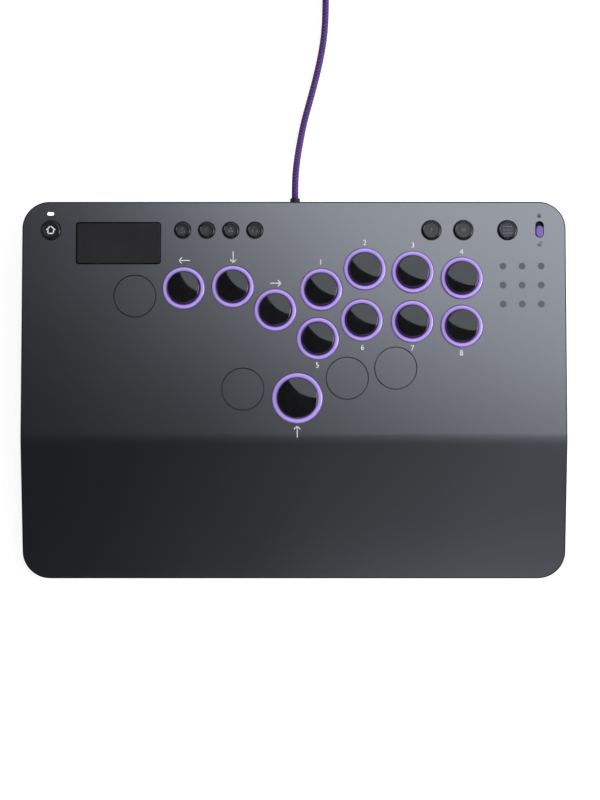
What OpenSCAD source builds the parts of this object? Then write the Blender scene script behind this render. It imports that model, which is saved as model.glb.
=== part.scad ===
// Leverless arcade controller: a slim desktop panel with twelve lit push buttons.
// X runs left to right, Y front to back and Z up. The origin is the middle of the body's
// footprint, on the surface that the rubber feet stand on.

/* [Body] */
// Width of the body, left to right
body_w = 400; // [396:1:430]
// Depth of the body, front to back
body_d = 277.5; // [274:0.5:300]
// Height of the flat top above the surface it stands on
body_h = 28; // [27:0.5:32]
// Radius of the body's corners seen from above
corner_r = 20; // [16:0.5:22]
// Depth of the sloped palm rest, from the front edge to the bend
palm_d = 102.75; // [96:0.25:104]
// Slope of the palm rest in degrees
palm_deg = 7.5; // [5:0.25:8]
// Outside radius of the soft bend between the flat top and the palm rest
bend_r = 65; // [40:1:80]

/* [Case] */
// Thickness of the metal top panel
panel_t = 2; // [1.6:0.1:2.4]
// Thickness of the tray's walls
tray_wall = 2.5; // [2:0.1:3]
// Thickness of the tray's floor
tray_floor = 2.5; // [2.2:0.1:3]
// How far the tray's walls stand back from the panel's edge
tray_inset = 0.6; // [0.3:0.1:1.2]
// Height of the feet below the tray
foot_h = 2; // [1.5:0.1:3]
// Length of a rubber foot
foot_len = 46; // [30:1:60]
// Width of a rubber foot
foot_w = 12; // [8:0.5:14]
// Depth of the pockets that the feet are glued into
foot_pocket = 0.6; // [0.4:0.1:1]
// Thickness of the ribs that stiffen the tray under the palm rest
rib_t = 1.6; // [1.2:0.1:2.5]

/* [Main buttons] */
// Outside diameter of a light ring
ring_d = 30.8; // [30:0.1:31]
// Width of a light ring's band, seen from above
ring_band = 3; // [2.6:0.1:3.1]
// Diameter of a button cap
cap_d = 23.2; // [21:0.1:23.4]
// Outside diameter of the large light ring
big_ring_d = 36.8; // [36.4:0.1:38]
// Width of the large light ring's band
big_ring_band = 3.3; // [3:0.1:3.5]
// Diameter of the large button cap
big_cap_d = 29.4; // [27:0.1:29.6]
// Height of the light rings above the flat top
ring_proud = 1.6; // [1:0.1:2.2]
// Height of the button caps above the flat top
cap_proud = 6; // [5.2:0.1:7]
// Radius of the dome on a button cap
dome_r = 110; // [60:1:200]
// Radius that rounds the edge of a button cap
cap_edge_r = 0.6; // [0.2:0.1:2]
// Thickness of a button cap's skirt
cap_wall = 1.8; // [1.4:0.1:2.2]
// Travel of a main button
key_travel = 3; // [2:0.1:3.2]
// Distance from the back edge to the centre of the rearmost button
cluster_back = 50; // [49:0.5:54]

/* [Small buttons] */
// Diameter of the function buttons
small_d = 12.4; // [11:0.1:13]
// Diameter of the home, stick and menu buttons
wide_d = 14.6; // [13:0.1:15.4]
// Height of the small buttons above the flat top
small_proud = 1.2; // [0.8:0.1:2]
// Radius that rounds the rim of a small button
small_rim_r = 0.9; // [0.5:0.1:1]
// Travel of a small button
small_travel = 0.6; // [0.3:0.05:0.7]
// Distance from the back edge to the row of small buttons
row_back = 21.2; // [21:0.1:24]
// Distance from the left edge to the home button
home_from_left = 21.3; // [21:0.1:24]
// Distance from the touchpad's edge to the first function button
function_from_pad = 16.3; // [15:0.1:18]
// Distance between function buttons
function_pitch = 17.7; // [17:0.1:19]
// Distance from the lock switch to the menu button
menu_from_lock = 23.7; // [22:0.1:26]
// Distance from the menu button to the right-hand stick button
stick_from_menu = 32.4; // [28:0.1:36]
// Distance between the stick buttons
stick_pitch = 23.5; // [19:0.1:26]

/* [Touchpad] */
// Width of the touchpad
pad_w = 61.8; // [54:0.2:63]
// Depth of the touchpad
pad_d = 30.5; // [28:0.1:32]
// Radius of the touchpad's corners
pad_corner_r = 2; // [1:0.1:4]
// How far the touchpad lies below the flat top
pad_sunk = 0.3; // [0.1:0.05:0.5]
// Distance from the left edge to the touchpad's centre
pad_from_left = 70.9; // [70.5:0.05:74]
// Distance from the back edge to the touchpad's centre
pad_from_back = 30.8; // [30:0.1:32]
// Travel of the touchpad's click
pad_travel = 0.5; // [0.3:0.05:0.6]

/* [Lock switch] */
// Distance from the right edge to the lock switch
lock_from_right = 19.4; // [18:0.1:21]
// Distance from the back edge to the lock switch
lock_from_back = 20.6; // [20:0.1:22]
// Length of the lock switch's slot
slot_len = 12; // [11:0.1:13]
// Width of the lock switch's slot
slot_w = 6; // [5.6:0.1:6.5]
// Length of the lock knob
knob_len = 8.6; // [7.8:0.1:9]
// Width of the lock knob
knob_w = 5.3; // [4:0.1:5.4]
// Height of the lock knob above the flat top
knob_proud = 0.5; // [0.3:0.1:1.5]
// Travel of the lock knob
lock_travel = 3; // [1:0.1:3.1]

/* [Circuit board] */
// Thickness of the circuit board
board_t = 1.6; // [1.2:0.1:2]
// Distance from the panel's underside to the circuit board's top
board_drop = 12.6; // [12.4:0.1:13]
// Gap between the circuit board and the tray's side walls
board_side_gap = 9; // [8.8:0.1:12]
// Gap between the circuit board and the tray's back wall
board_back_gap = 3.2; // [3:0.1:3.6]
// Distance from the bend to the front edge of the circuit board
board_front = 4; // [2:0.5:6]

/* [Switches] */
// Width of a key switch's housing
switch_w = 15; // [13.6:0.1:15.6]
// Width of the cover on a key switch's housing
switch_top_w = 13.6; // [12:0.1:13.6]
// Height of a key switch's housing
switch_h = 6.6; // [6.5:0.05:6.7]
// Thickness of the cover that holds the stem in its housing
switch_cover = 1; // [0.8:0.1:1.2]
// Outside diameter of a switch stem
stem_d = 6; // [5.6:0.1:6.4]
// Height that the stem reaches above the housing
stem_up = 7; // [6:0.1:7.4]
// Height of the stem's retaining collar
collar_h = 1.2; // [0.8:0.1:1.2]
// Width of the stem's retaining collar beyond the stem
collar_out = 0.7; // [0.5:0.1:1]
// Outside diameter of a return spring
spring_d = 4.2; // [3.6:0.1:4.2]
// Length of a return spring with its button up
spring_len = 9; // [8:0.1:9.4]
// Diameter of the return spring's wire
spring_wire = 0.4; // [0.3:0.05:0.5]
// Turns of a return spring
spring_turns = 4; // [3:1:6]
// Width of a tact switch
tact_w = 6; // [5:0.1:6.5]
// Height of a tact switch
tact_h = 4; // [3.5:0.1:4.5]

/* [Sockets] */
// Distance from the middle of the body to the cable socket, to the right
port_x = 0.7; // [-4:0.1:4]
// Width of the opening for the cable's plug
port_w = 13; // [12.6:0.1:16]
// Height of the opening for the cable's plug
port_h = 8.4; // [8:0.1:9]
// Distance from the cable socket to the headset socket, to the right
jack_from_port = 24; // [18:0.5:30]
// Bore of the headset socket
jack_bore_d = 3.6; // [3.5:0.05:3.7]

/* [Fasteners] */
// Shank diameter of the screws that hold the case together
case_screw_d = 3; // [2.6:0.1:3]
// Head diameter of the case screws
case_head_d = 5.6; // [5:0.1:6]
// Shank diameter of the screws that hold the circuit board
board_screw_d = 2.2; // [2:0.1:2.4]
// Head diameter of the board screws
board_head_d = 4.4; // [4:0.1:5]

/* [Hidden] */
$fn = 64;

// Clearances and small fixed sizes
seat_gap = 0.2;         // between a ring and its hole
seam_gap = 0.3;         // round a blanking plug, the touchpad and the light guide
slide_gap = 0.15;       // round a small button and at the ends of the lock slot
run_gap = 0.05;         // round a stem, a screw or a post
flange_t = 1.6;         // flanges that hold pieces under the panel
flange_out = 1.2;       // how far a flange reaches beyond its hole
bend_steps = 8;
board_corner_r = 12;
mouth_deep = 20;        // how far the sockets' openings are cut in from the back
case_hex_r = 1.1;
case_hex_deep = 1.2;
board_hex_r = 0.9;
board_hex_deep = 0.8;
board_head_h = 1.4;
led_t = 0.9;
guide_gap = 0.4;        // between a light guide and its lamp
travel_room = 0.4;      // left under a button pressed all the way
post_in = 1;            // how far a small button's post reaches into its switch

// Levels
panel_under = body_h - panel_t;
floor_top = foot_h + tray_floor;
board_top = panel_under - board_drop;
board_under = board_top - board_t;
housing_top = board_top + switch_h;
housing_floor = board_top + 1;
stem_top = housing_top + stem_up;
collar_top = housing_top - switch_cover - run_gap;
stem_low = collar_top - collar_h;
spring_top = housing_floor + spring_len;
cap_top = body_h + cap_proud;
skirt_low = housing_top + key_travel + travel_room;
cap_ceiling = cap_top - 2.2;
guide_low = board_top + led_t + guide_gap;
tact_top = board_top + tact_h;

// Places in plan
back_y = body_d / 2;
bend_y = palm_d - body_d / 2;
cluster_y = back_y - cluster_back;
row_y = back_y - row_back;
pad_x = pad_from_left - body_w / 2;
pad_y = back_y - pad_from_back;
slot_x = body_w / 2 - lock_from_right;
slot_y = back_y - lock_from_back;
menu_x = slot_x - menu_from_lock;
stick_x = menu_x - stick_from_menu;
function_x = pad_x + pad_w / 2 + function_from_pad;
jack_x = port_x + jack_from_port;
light_x = 21 - body_w / 2;
light_y = back_y - 9.1;
light_len = 5;
light_w = 2.6;
arc_y = bend_y + bend_r * tan(palm_deg / 2);

// Main buttons: name, place right of the middle, place behind the rearmost one, large or not
keys = [
    ["left", -80.9, -14, false],
    ["down", -44.9, -12.9, false],
    ["right", -13.7, -30.2, false],
    ["up", 2.5, -94.8, true],
    ["1", 20, -15.1, false],
    ["2", 52, 0, false],
    ["3", 87.2, -2.2, false],
    ["4", 123.2, -6.6, false],
    ["5", 17.5, -51.2, false],
    ["6", 49.7, -37.6, false],
    ["7", 86.7, -38.7, false],
    ["8", 123, -42, false],
];
// Spare button holes, closed by blanking plugs
spares = [[-116.8, -19.9], [-37.4, -88.2], [39, -80.2], [74.5, -72.8]];
// Small buttons: name, place right of the middle, wide or not
smalls = [
    ["home_button", home_from_left - body_w / 2, true],
    ["function_button_1", function_x, false],
    ["function_button_2", function_x + function_pitch, false],
    ["function_button_3", function_x + 2 * function_pitch, false],
    ["function_button_4", function_x + 3 * function_pitch, false],
    ["stick_button_left", stick_x - stick_pitch, true],
    ["stick_button_right", stick_x, true],
    ["menu_button", menu_x, true],
];
// Case screws stand in posts at the tray's sides, back and front
post_r = 4;
post_x = body_w / 2 - tray_inset - tray_wall - post_r + 0.3;
post_y = body_d / 2 - tray_inset - tray_wall - post_r + 0.3;
side_posts_y = [back_y - 44, bend_y + 56, bend_y - 24];
back_posts_x = [78 - body_w / 2, 50];
front_posts_x = [80 - body_w / 2, 0, body_w / 2 - 80];
posts = [
    for (s = [-1, 1], y = side_posts_y) [s * post_x, y],
    for (x = back_posts_x) [x, post_y],
    for (x = front_posts_x) [x, -post_y]
];
stud_r = 3.5;
stud_len = 6;
head_h = 2;
head_deep = 2.4;
// Board screws stand in bosses on the tray's floor
boss_x = body_w / 2 - 50;
boss_front_y = bend_y + board_front + 10;
bosses = [
    [-boss_x, boss_front_y], [72, boss_front_y], [boss_x, boss_front_y],
    [-82, cluster_y - 68.7], [-60, cluster_y - 44.7], [-boss_x, cluster_y - 34],
    [boss_x + 2, cluster_y - 48.7], [boss_x + 2, cluster_y + 1.3], [0, back_y - 34.7]
];
boss_r = 3;
feet = [for (s = [-1, 1], t = [-1, 1]) [s * (body_w / 2 - 50), t * (body_d / 2 - 24)],
    [0, body_d / 2 - 24], [0, 24 - body_d / 2]];
ribs = [-boss_x, -60, 60, boss_x];

// Cable, from its plug to the coil and from the coil to its far end
cord_d = 5;
cord_sides = 10;
cord_start = [port_x, 142.2, 15];
cord_route = [
    cord_start, [0.7, 151, 15], [1, 160, 14.2], [1.7, 169, 11.6], [2.8, 178, 8.2],
    [4.2, 187, 5.2], [6, 197, 3.4], [8.4, 208, 2.8], [11.4, 219, 2.6], [14.6, 231, 2.6],
    [17.6, 243, 2.6], [20.2, 255, 2.6], [22.2, 267, 2.6], [23.4, 279, 2.6], [23.9, 292, 2.7],
    [24, 306, 2.9], [24, 320, 3.1], [24, 332, 3.3], [24, 345, 3.3]
];
tail_route = [
    [-14.5, 383.4, 18.3], [-25, 383.3, 17.8], [-35, 382.8, 15.6], [-44, 381.9, 12],
    [-53, 380.6, 8.2], [-61, 379.2, 5.4], [-69, 378.2, 4.2], [-76, 378, 4], [-80, 378, 4]
];
// The coil lies on its tie, four layers of turns one cord apart
coil_at = [-14.5, 345];
coil_mean_r = 30;
coil_turns_wide = 3.375;
coil_layers = 4;
tie_t = 0.8;
tie_w = 10;
tie_deg = 205;
plug_a_from = tail_route[len(tail_route) - 1];
relief_len = 8;
grip_len = 24;
grip_w = 16;
grip_h = 8;
shell_len = 12;
shell_w = 12;
shell_h = 4.5;

// Height of the panel's surface at a depth, taken a distance down into the sheet
function slope_z(y, down) = body_h - down / cos(palm_deg) - (bend_y - y) * tan(palm_deg);
function skin_z(y, down) = min(body_h - down, slope_z(y, down));
// The panel's side profile from back to front, taken a distance down into the sheet
function skin_line(down) = [
    [back_y, body_h - down],
    for (i = [0 : bend_steps])
        let (a = palm_deg * i / bend_steps)
        [arc_y - (bend_r - down) * sin(a), body_h - bend_r + (bend_r - down) * cos(a)],
    [-back_y, slope_z(-back_y, down)]
];
function reversed(list) = [for (i = [len(list) - 1 : -1 : 0]) list[i]];
function ring_r(big) = (big ? big_ring_d : ring_d) / 2;
function ring_in_r(big) = ring_r(big) - (big ? big_ring_band : ring_band);
function cap_r(big) = (big ? big_cap_d : cap_d) / 2;
function small_r(wide) = (wide ? wide_d : small_d) / 2;
function key_at(k) = [k[1], cluster_y + k[2], 0];
function spare_at(s) = [s[0], cluster_y + s[1], 0];

module rounded(w, d, r) {
    square([w - 2 * r, d], center = true);
    square([w, d - 2 * r], center = true);
    for (x = [-1, 1], y = [-1, 1])
        translate([x * (w / 2 - r), y * (d / 2 - r)]) circle(r);
}

module plan(inset, low, high) {
    translate([0, 0, low]) linear_extrude(high - low)
        rounded(body_w - 2 * inset, body_d - 2 * inset, corner_r - inset);
}

module across(points) {
    rotate([90, 0, 90]) linear_extrude(body_w + 2, center = true) polygon(points);
}

// Everything below the panel's sheet, taken a distance down into it
module below_skin(down) {
    across(concat(skin_line(down), [[-back_y, 0], [back_y, 0]]));
}

module tube(r, low, high) {
    translate([0, 0, low]) cylinder(h = high - low, r = r);
}

module bar(w, d, low, high) {
    translate([-w / 2, -d / 2, low]) cube([w, d, high - low]);
}

// An upright with rounded ends, long in Y
module slot_bar(w, len, low, high) {
    translate([0, 0, low]) linear_extrude(high - low) union() {
        square([w, len - w], center = true);
        for (s = [-1, 1]) translate([0, s * (len - w) / 2]) circle(w / 2);
    }
}

// The same lying along Y, wide in X: a plug or its socket
module flat_bar(w, h, from_y, to_y) {
    translate([0, to_y, 0]) rotate([90, 0, 0]) linear_extrude(to_y - from_y) union() {
        square([w - h, h], center = true);
        for (s = [-1, 1]) translate([s * (w - h) / 2, 0]) circle(h / 2);
    }
}

module rod_y(r, from_y, to_y) {
    translate([0, to_y, 0]) rotate([90, 0, 0]) cylinder(h = to_y - from_y, r = r);
}

// ---- Case ----

module top_panel() color("#4a4d55") {
    difference() {
        intersection() {
            across(concat(skin_line(0), reversed(skin_line(panel_t))));
            plan(0, 0, body_h + 1);
        }
        for (k = keys) translate(key_at(k)) tube(ring_r(k[3]) + seat_gap, 0, body_h + 1);
        for (s = spares) translate(spare_at(s)) tube(ring_r(false) + seat_gap, 0, body_h + 1);
        for (s = smalls)
            translate([s[1], row_y, 0]) tube(small_r(s[2]) + slide_gap, 0, body_h + 1);
        translate([pad_x, pad_y, 0]) linear_extrude(body_h + 1)
            rounded(pad_w + 2 * seam_gap, pad_d + 2 * seam_gap, pad_corner_r + seam_gap);
        translate([slot_x, slot_y, 0]) slot_bar(slot_w, slot_len, 0, body_h + 1);
        translate([light_x, light_y, 0]) rotate([0, 0, 90])
            slot_bar(light_w + 0.2, light_len + 0.2, 0, body_h + 1);
    }
    // Threaded studs on the underside, over the tray's posts
    for (p = posts) difference() {
        intersection() {
            translate([p[0], p[1], 0]) tube(stud_r, stud_low(p), body_h);
            below_skin(panel_t / 2);
        }
        translate([p[0], p[1], 0])
            tube(case_screw_d / 2, stud_low(p) - 1, stud_low(p) + stud_len - 0.8);
    }
}

function stud_low(p) = skin_z(p[1] - stud_r, panel_t) - stud_len;

module bottom_tray() color("#1c1d20") difference() {
    union() {
        difference() {
            intersection() {
                below_skin(panel_t);
                plan(tray_inset, foot_h, body_h);
            }
            plan(tray_inset + tray_wall, floor_top, body_h + 1);
        }
        for (p = posts) translate([p[0], p[1], 0]) tube(post_r, foot_h, stud_low(p));
        for (b = bosses) translate([b[0], b[1], 0]) tube(boss_r, foot_h, board_under);
        for (x = ribs) intersection() {
            translate([x - rib_t / 2, -post_y, foot_h])
                cube([rib_t, post_y + bend_y - 8, body_h]);
            below_skin(panel_t + 1.2);
        }
    }
    for (p = posts) translate([p[0], p[1], 0]) {
        tube(case_screw_d / 2 + 0.2, 0, body_h);
        tube(case_head_d / 2 + 0.3, 0, foot_h + head_deep);
    }
    for (b = bosses) translate([b[0], b[1], 0])
        tube(board_screw_d / 2, floor_top, body_h);
    for (f = feet) translate([f[0], f[1], 0]) rotate([0, 0, 90])
        slot_bar(foot_w + 0.2, foot_len + 0.2, 0, foot_h + foot_pocket);
    translate([port_x, 0, port_z()]) flat_bar(port_w, port_h, back_y - mouth_deep, back_y);
    translate([jack_x, 0, jack_z()]) rod_y(jack_r() + 0.1, back_y - mouth_deep, back_y);
}

module rubber_feet() color("#17171a")
    for (f = feet) translate([f[0], f[1], 0]) rotate([0, 0, 90])
        slot_bar(foot_w, foot_len, 0, foot_h + foot_pocket);

module case_screws() color("#26272b")
    for (p = posts) translate([p[0], p[1], 0]) difference() {
        union() {
            tube(case_head_d / 2, foot_h + head_deep - head_h, foot_h + head_deep);
            tube(case_screw_d / 2 - run_gap, foot_h + head_deep, stud_low(p) + stud_len - 1.5);
        }
        tube(case_hex_r, 0, foot_h + head_deep - head_h + case_hex_deep, $fn = 6);
    }

// ---- Circuit board ----

module main_board() color("#12351f") difference() {
    board_w = body_w - 2 * (tray_inset + tray_wall + board_side_gap);
    board_back = back_y - tray_inset - tray_wall - board_back_gap;
    board_fore = bend_y + board_front;
    translate([0, (board_back + board_fore) / 2, board_under]) linear_extrude(board_t)
        rounded(board_w, board_back - board_fore, board_corner_r);
    for (p = posts) translate([p[0], p[1], 0]) tube(post_r + 0.6, 0, body_h);
    for (b = bosses) translate([b[0], b[1], 0]) tube(board_screw_d / 2 + 0.2, 0, body_h);
    for (k = keys) translate(key_at(k)) tube(1.75, 0, body_h);
    translate([port_x - port_w / 2 - 1, port_mouth(), 0]) cube([port_w + 2, back_y, body_h]);
}

module board_screws() color("#8a8c90")
    for (b = bosses) translate([b[0], b[1], 0]) difference() {
        union() {
            tube(board_head_d / 2, board_top, board_top + board_head_h);
            tube(board_screw_d / 2 - run_gap, floor_top + 1.5, board_top);
        }
        tube(board_hex_r, board_top + board_head_h - board_hex_deep, board_top + 2, $fn = 6);
    }

module board_chips() color("#1a1a1c") {
    // Place right of the middle, place behind the rearmost button, width, depth, height
    chips = [
        [38 - boss_x, -68.7, 10, 10, 1], [38 - boss_x, -86.7, 6, 5, 0.8],
        [54 - boss_x, -86.7, 4, 3, 0.8], [boss_x - 46, -84.7, 8, 6, 1],
        [boss_x - 14, -84.7, 4, 3, 0.8], [-20, 7.3, 7, 4, 1.2],
        [-boss_x - 20, -68.7, 6, 16, 2.4]
    ];
    for (c = chips) translate([c[0], cluster_y + c[1], 0])
        bar(c[2], c[3], board_top, board_top + c[4]);
}

module switch_housings() color("#232326")
    for (k = keys) translate(key_at(k)) difference() {
        union() {
            bar(switch_w, switch_w, board_top, board_top + 3);
            bar(switch_top_w, switch_top_w, board_top + 3, housing_top);
            tube(1.65, board_under - 0.5, board_top);
        }
        tube(stem_d / 2 + run_gap, housing_floor, housing_top + 1);
        tube(stem_d / 2 + collar_out + 0.2, housing_floor, housing_top - switch_cover);
    }

module switch_springs() color("#c9ccd1")
    for (k = keys) translate(key_at(k)) coil_spring();

// Half turns tilted by turns, each ending where the next one starts
module coil_spring() {
    halves = 2 * spring_turns;
    r = (spring_d - spring_wire) / 2;
    rise = (spring_top - housing_floor - spring_wire - 2 * run_gap) / halves;
    tilt = atan(rise / (2 * r));
    reach = sqrt(r * r + rise * rise / 4);
    low = housing_floor + run_gap + spring_wire / 2;
    for (i = [0 : halves - 1])
        translate([0, 0, low + rise * (i + 0.5)])
            rotate([0, (i % 2 == 0 ? -1 : 1) * tilt, i % 2 == 0 ? 0 : 180])
                rotate_extrude(angle = 180)
                    translate([reach, 0]) circle(r = spring_wire / 2, $fn = 16);
}

module ring_leds() color("#e8e4f4") {
    for (k = keys) translate(key_at(k)) for (a = [30, 150, 270]) rotate([0, 0, a])
        translate([(ring_r(k[3]) + ring_in_r(k[3])) / 2, 0, 0])
            bar(2, 2, board_top, board_top + led_t);
    translate([light_x, light_y, 0]) bar(2, 1.6, board_top, board_top + led_t);
}

module tact_switches() color("#2a2a2d") {
    for (s = smalls) translate([s[1], row_y, 0]) tact(small_travel);
    translate([pad_x, pad_y, 0]) tact(pad_travel);
}

module tact(travel) difference() {
    bar(tact_w, tact_w, board_top, tact_top);
    tube(tact_post_r() + 0.1, tact_top - post_in - travel - travel_room, tact_top + 1);
}

function tact_post_r() = 1.7;

module lock_switch_body() color("#2c2d30") translate([slot_x, slot_y, 0]) difference() {
    bar(6, 13, board_top, board_top + 5);
    slot_bar(3, lock_travel + 4.6, board_top + 2, board_top + 6);
}

// ---- Light rings and plugs ----

module small_light_rings() color("#b79cf2")
    for (k = keys) if (!k[3]) translate(key_at(k)) light_ring(false);

module large_light_ring() color("#b79cf2")
    for (k = keys) if (k[3]) translate(key_at(k)) light_ring(true);

// A clear collar: its rounded top shows, its foot stands over the lamps
module light_ring(big) {
    out_r = ring_r(big);
    in_r = ring_in_r(big);
    edge = 0.6;
    rotate_extrude() union() {
        translate([in_r, guide_low]) square([out_r - in_r, body_h + ring_proud - edge - guide_low]);
        translate([in_r + edge, guide_low])
            square([out_r - in_r - 2 * edge, body_h + ring_proud - guide_low]);
        for (r = [in_r + edge, out_r - edge])
            translate([r, body_h + ring_proud - edge]) circle(edge);
        translate([out_r - 1, panel_under - flange_t]) square([1 + flange_out, flange_t]);
    }
}

module blanking_plugs() color("#4a4d55")
    for (s = spares) translate(spare_at(s)) difference() {
        union() {
            tube(ring_r(false) + seat_gap - seam_gap, panel_under - 4, body_h);
            tube(ring_r(false) + flange_out, panel_under - flange_t, panel_under);
        }
        tube(ring_r(false) - 2, 0, panel_under - flange_t);
    }

module status_light_guide() color("#f4f6ff") translate([light_x, light_y, 0])
    rotate([0, 0, 90]) {
        slot_bar(light_w, light_len, guide_low, body_h);
        slot_bar(light_w + 2, light_len + 2, panel_under - 1, panel_under);
    }

// ---- Sockets ----

function port_z() = board_top + 1.6;
function port_mouth() = back_y - 20.5;
function jack_r() = 2.9;
function jack_z() = board_top + jack_r();

module usb_c_receptacle() color("#b9bcc2") translate([port_x, 0, port_z()]) {
    difference() {
        flat_bar(8.94, 3.2, port_mouth() - 7.3, port_mouth());
        flat_bar(8.4, 2.6, port_mouth() - 6.6, port_mouth() + 1);
    }
    translate([-3.3, port_mouth() - 7, -0.3]) cube([6.6, 6, 0.6]);
}

module headset_jack() color("#1d1d20") translate([jack_x, 0, 0]) difference() {
    union() {
        translate([0, back_y - 12.5, 0]) bar(7, 12, board_top, board_top + 2 * jack_r());
        translate([0, 0, jack_z()]) rod_y(jack_r(), back_y - 8, back_y - tray_inset);
    }
    translate([0, 0, jack_z()]) rod_y(jack_bore_d / 2, back_y - tray_inset - 14, back_y);
}

// ---- Moving pieces ----

module main_cap(k) color("#0d0e11") {
    r = cap_r(k[3]);
    f = cap_edge_r;
    dome_z = cap_top - dome_r;
    edge_z = dome_z + sqrt(pow(dome_r - f, 2) - pow(r - f, 2));
    meet_r = (r - f) * dome_r / (dome_r - f);
    translate(key_at(k)) difference() {
        rotate_extrude() union() {
            intersection() {
                translate([0, skirt_low]) square([meet_r, cap_top - skirt_low]);
                translate([0, dome_z]) circle(dome_r, $fn = 256);
            }
            translate([0, skirt_low]) square([r, edge_z - skirt_low]);
            intersection() {
                translate([r - f, edge_z]) circle(f);
                translate([0, edge_z]) square([r + 1, f + 1]);
            }
        }
        difference() {
            tube(r - cap_wall, skirt_low - 1, cap_ceiling);
            tube(boss_out_r(), skirt_low - 2, cap_ceiling + 1);
        }
        tube(stem_d / 2 + run_gap, skirt_low - 1, stem_top + run_gap);
    }
}

function boss_out_r() = stem_d / 2 + 2;

module switch_stem(k) color("#7d4be0") translate(key_at(k)) difference() {
    union() {
        tube(stem_d / 2, stem_low, stem_top);
        tube(stem_d / 2 + collar_out, stem_low, collar_top);
    }
    tube(spring_d / 2 + 0.3, stem_low - 1, spring_top);
}

module small_button(s) color("#33353a") {
    r = small_r(s[2]);
    f = small_rim_r;
    top = body_h + small_proud;
    flange_top = panel_under - run_gap;
    translate([s[1], row_y, 0]) {
        rotate_extrude() union() {
            translate([0, flange_top - flange_t]) square([r, top - f - flange_top + flange_t]);
            translate([0, flange_top - flange_t]) square([r - f, top - flange_top + flange_t]);
            translate([r - f, top - f]) circle(f);
            translate([0, flange_top - flange_t]) square([r + flange_out, flange_t]);
        }
        tube(tact_post_r(), tact_top - post_in, flange_top);
    }
}

module touch_plate() color("#141416") translate([pad_x, pad_y, 0]) {
    rim_top = panel_under - run_gap;
    translate([0, 0, rim_top - flange_t]) linear_extrude(body_h - pad_sunk - rim_top + flange_t)
        rounded(pad_w, pad_d, pad_corner_r);
    translate([0, 0, rim_top - flange_t]) linear_extrude(flange_t)
        rounded(pad_w + 2 * flange_out, pad_d + 2 * flange_out, pad_corner_r + flange_out);
}

module touch_sensor_board() color("#12351f") translate([pad_x, pad_y, sensor_low()])
    linear_extrude(1) rounded(pad_w - 2, pad_d - 2, 1);

function sensor_low() = panel_under - run_gap - flange_t - 1;

module touch_carrier() color("#26272b") translate([pad_x, pad_y, 0]) {
    bar(pad_w - 10, pad_d - 8, sensor_low() - 1.5, sensor_low());
    tube(tact_post_r() + 1.3, tact_top + pad_travel + travel_room, sensor_low());
    tube(tact_post_r(), tact_top - post_in, sensor_low());
}

module lock_knob() color("#8a63d8") translate([slot_x, slot_y, 0]) {
    rest_y = slide_gap - (slot_len - knob_len) / 2;
    plate_top = panel_under - run_gap;
    translate([0, rest_y, 0]) {
        slot_bar(knob_w, knob_len, plate_top - 1, body_h + knob_proud);
        slot_bar(slot_w + 3, slot_len + 7, plate_top - 1.6, plate_top);
        tube(1.3, board_top + 3, plate_top);
    }
}

// ---- Cable ----

function norm_of(v) = v / norm(v);
function heading(pts, i) =
    norm_of(pts[min(i + 1, len(pts) - 1)] - pts[max(i - 1, 0)]);

// A round tube swept along a list of points, square to the route at both ends
module swept(pts, r, sides) {
    n = len(pts);
    rings = [for (i = [0 : n - 1])
        let (t = heading(pts, i),
             across_v = norm_of(cross(t, [0, 0, 1])),
             up_v = cross(across_v, t))
        for (j = [0 : sides - 1])
            pts[i] + r * (cos(360 * j / sides) * across_v + sin(360 * j / sides) * up_v)];
    walls = [for (i = [0 : n - 2], j = [0 : sides - 1])
        let (a = i * sides + j, b = i * sides + (j + 1) % sides)
        [a, b, b + sides, a + sides]];
    near_end = [[for (j = [sides - 1 : -1 : 0]) j]];
    far_end = [[for (j = [0 : sides - 1]) (n - 1) * sides + j]];
    polyhedron(rings, concat(walls, near_end, far_end));
}

module usb_cord() color("#6d3fc4") {
    swept(cord_route, cord_d / 2, cord_sides);
    swept(tail_route, cord_d / 2, cord_sides);
}

module usb_cord_coil() color("#6d3fc4") translate([coil_at[0], coil_at[1], tie_t])
    rotate_extrude() translate([coil_mean_r - coil_half(), 0])
        square([2 * coil_half(), coil_layers * cord_d]);

function coil_half() = (coil_turns_wide * cord_d + cord_d) / 2;

module cord_tie() color("#202124")
    translate([coil_at[0], coil_at[1], 0]) rotate([0, 0, tie_deg]) {
        in_x = coil_mean_r - coil_half() - 0.8;
        out_x = coil_mean_r + coil_half() + 0.1;
        high = tie_t + coil_layers * cord_d + 0.1;
        translate([in_x - tie_t, -tie_w / 2, 0]) difference() {
            cube([out_x - in_x + 2 * tie_t, tie_w, high + tie_t]);
            translate([tie_t, -1, tie_t]) cube([out_x - in_x, tie_w + 2, high - tie_t]);
        }
        translate([in_x + 2, -tie_w / 2, high + tie_t]) cube([out_x - in_x - 8, tie_w, tie_t]);
    }

module usb_c_plug() color("#141416") translate([port_x, 0, port_z()]) {
    difference() {
        flat_bar(8.25, 2.4, port_mouth() - 6.2, port_mouth() + 0.3);
        flat_bar(7, 1, port_mouth() - 7, port_mouth());
    }
    flat_bar(11.6, 7, port_mouth() + 0.3, back_y - 4);
    rod_y(3.75, back_y - 4, cord_start[1]);
}

module usb_a_plug() color("#141416") translate(plug_a_from) {
    translate([-relief_len - grip_len, -grip_w / 2, -grip_h / 2]) cube([grip_len, grip_w, grip_h]);
    rotate([0, -90, 0]) cylinder(h = relief_len, r1 = 3, r2 = 3.8);
}

// A standard USB-A shell, hollow above its tongue
module usb_a_shell() color("#c4c6cb")
    translate(plug_a_from - [relief_len + grip_len + shell_len, 0, 0]) difference() {
        translate([0, -shell_w / 2, -shell_h / 2]) cube([shell_len, shell_w, shell_h]);
        translate([-1, -shell_w / 2 + 0.3, -0.2])
            cube([shell_len, shell_w - 0.6, shell_h / 2 - 0.1]);
    }

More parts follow.
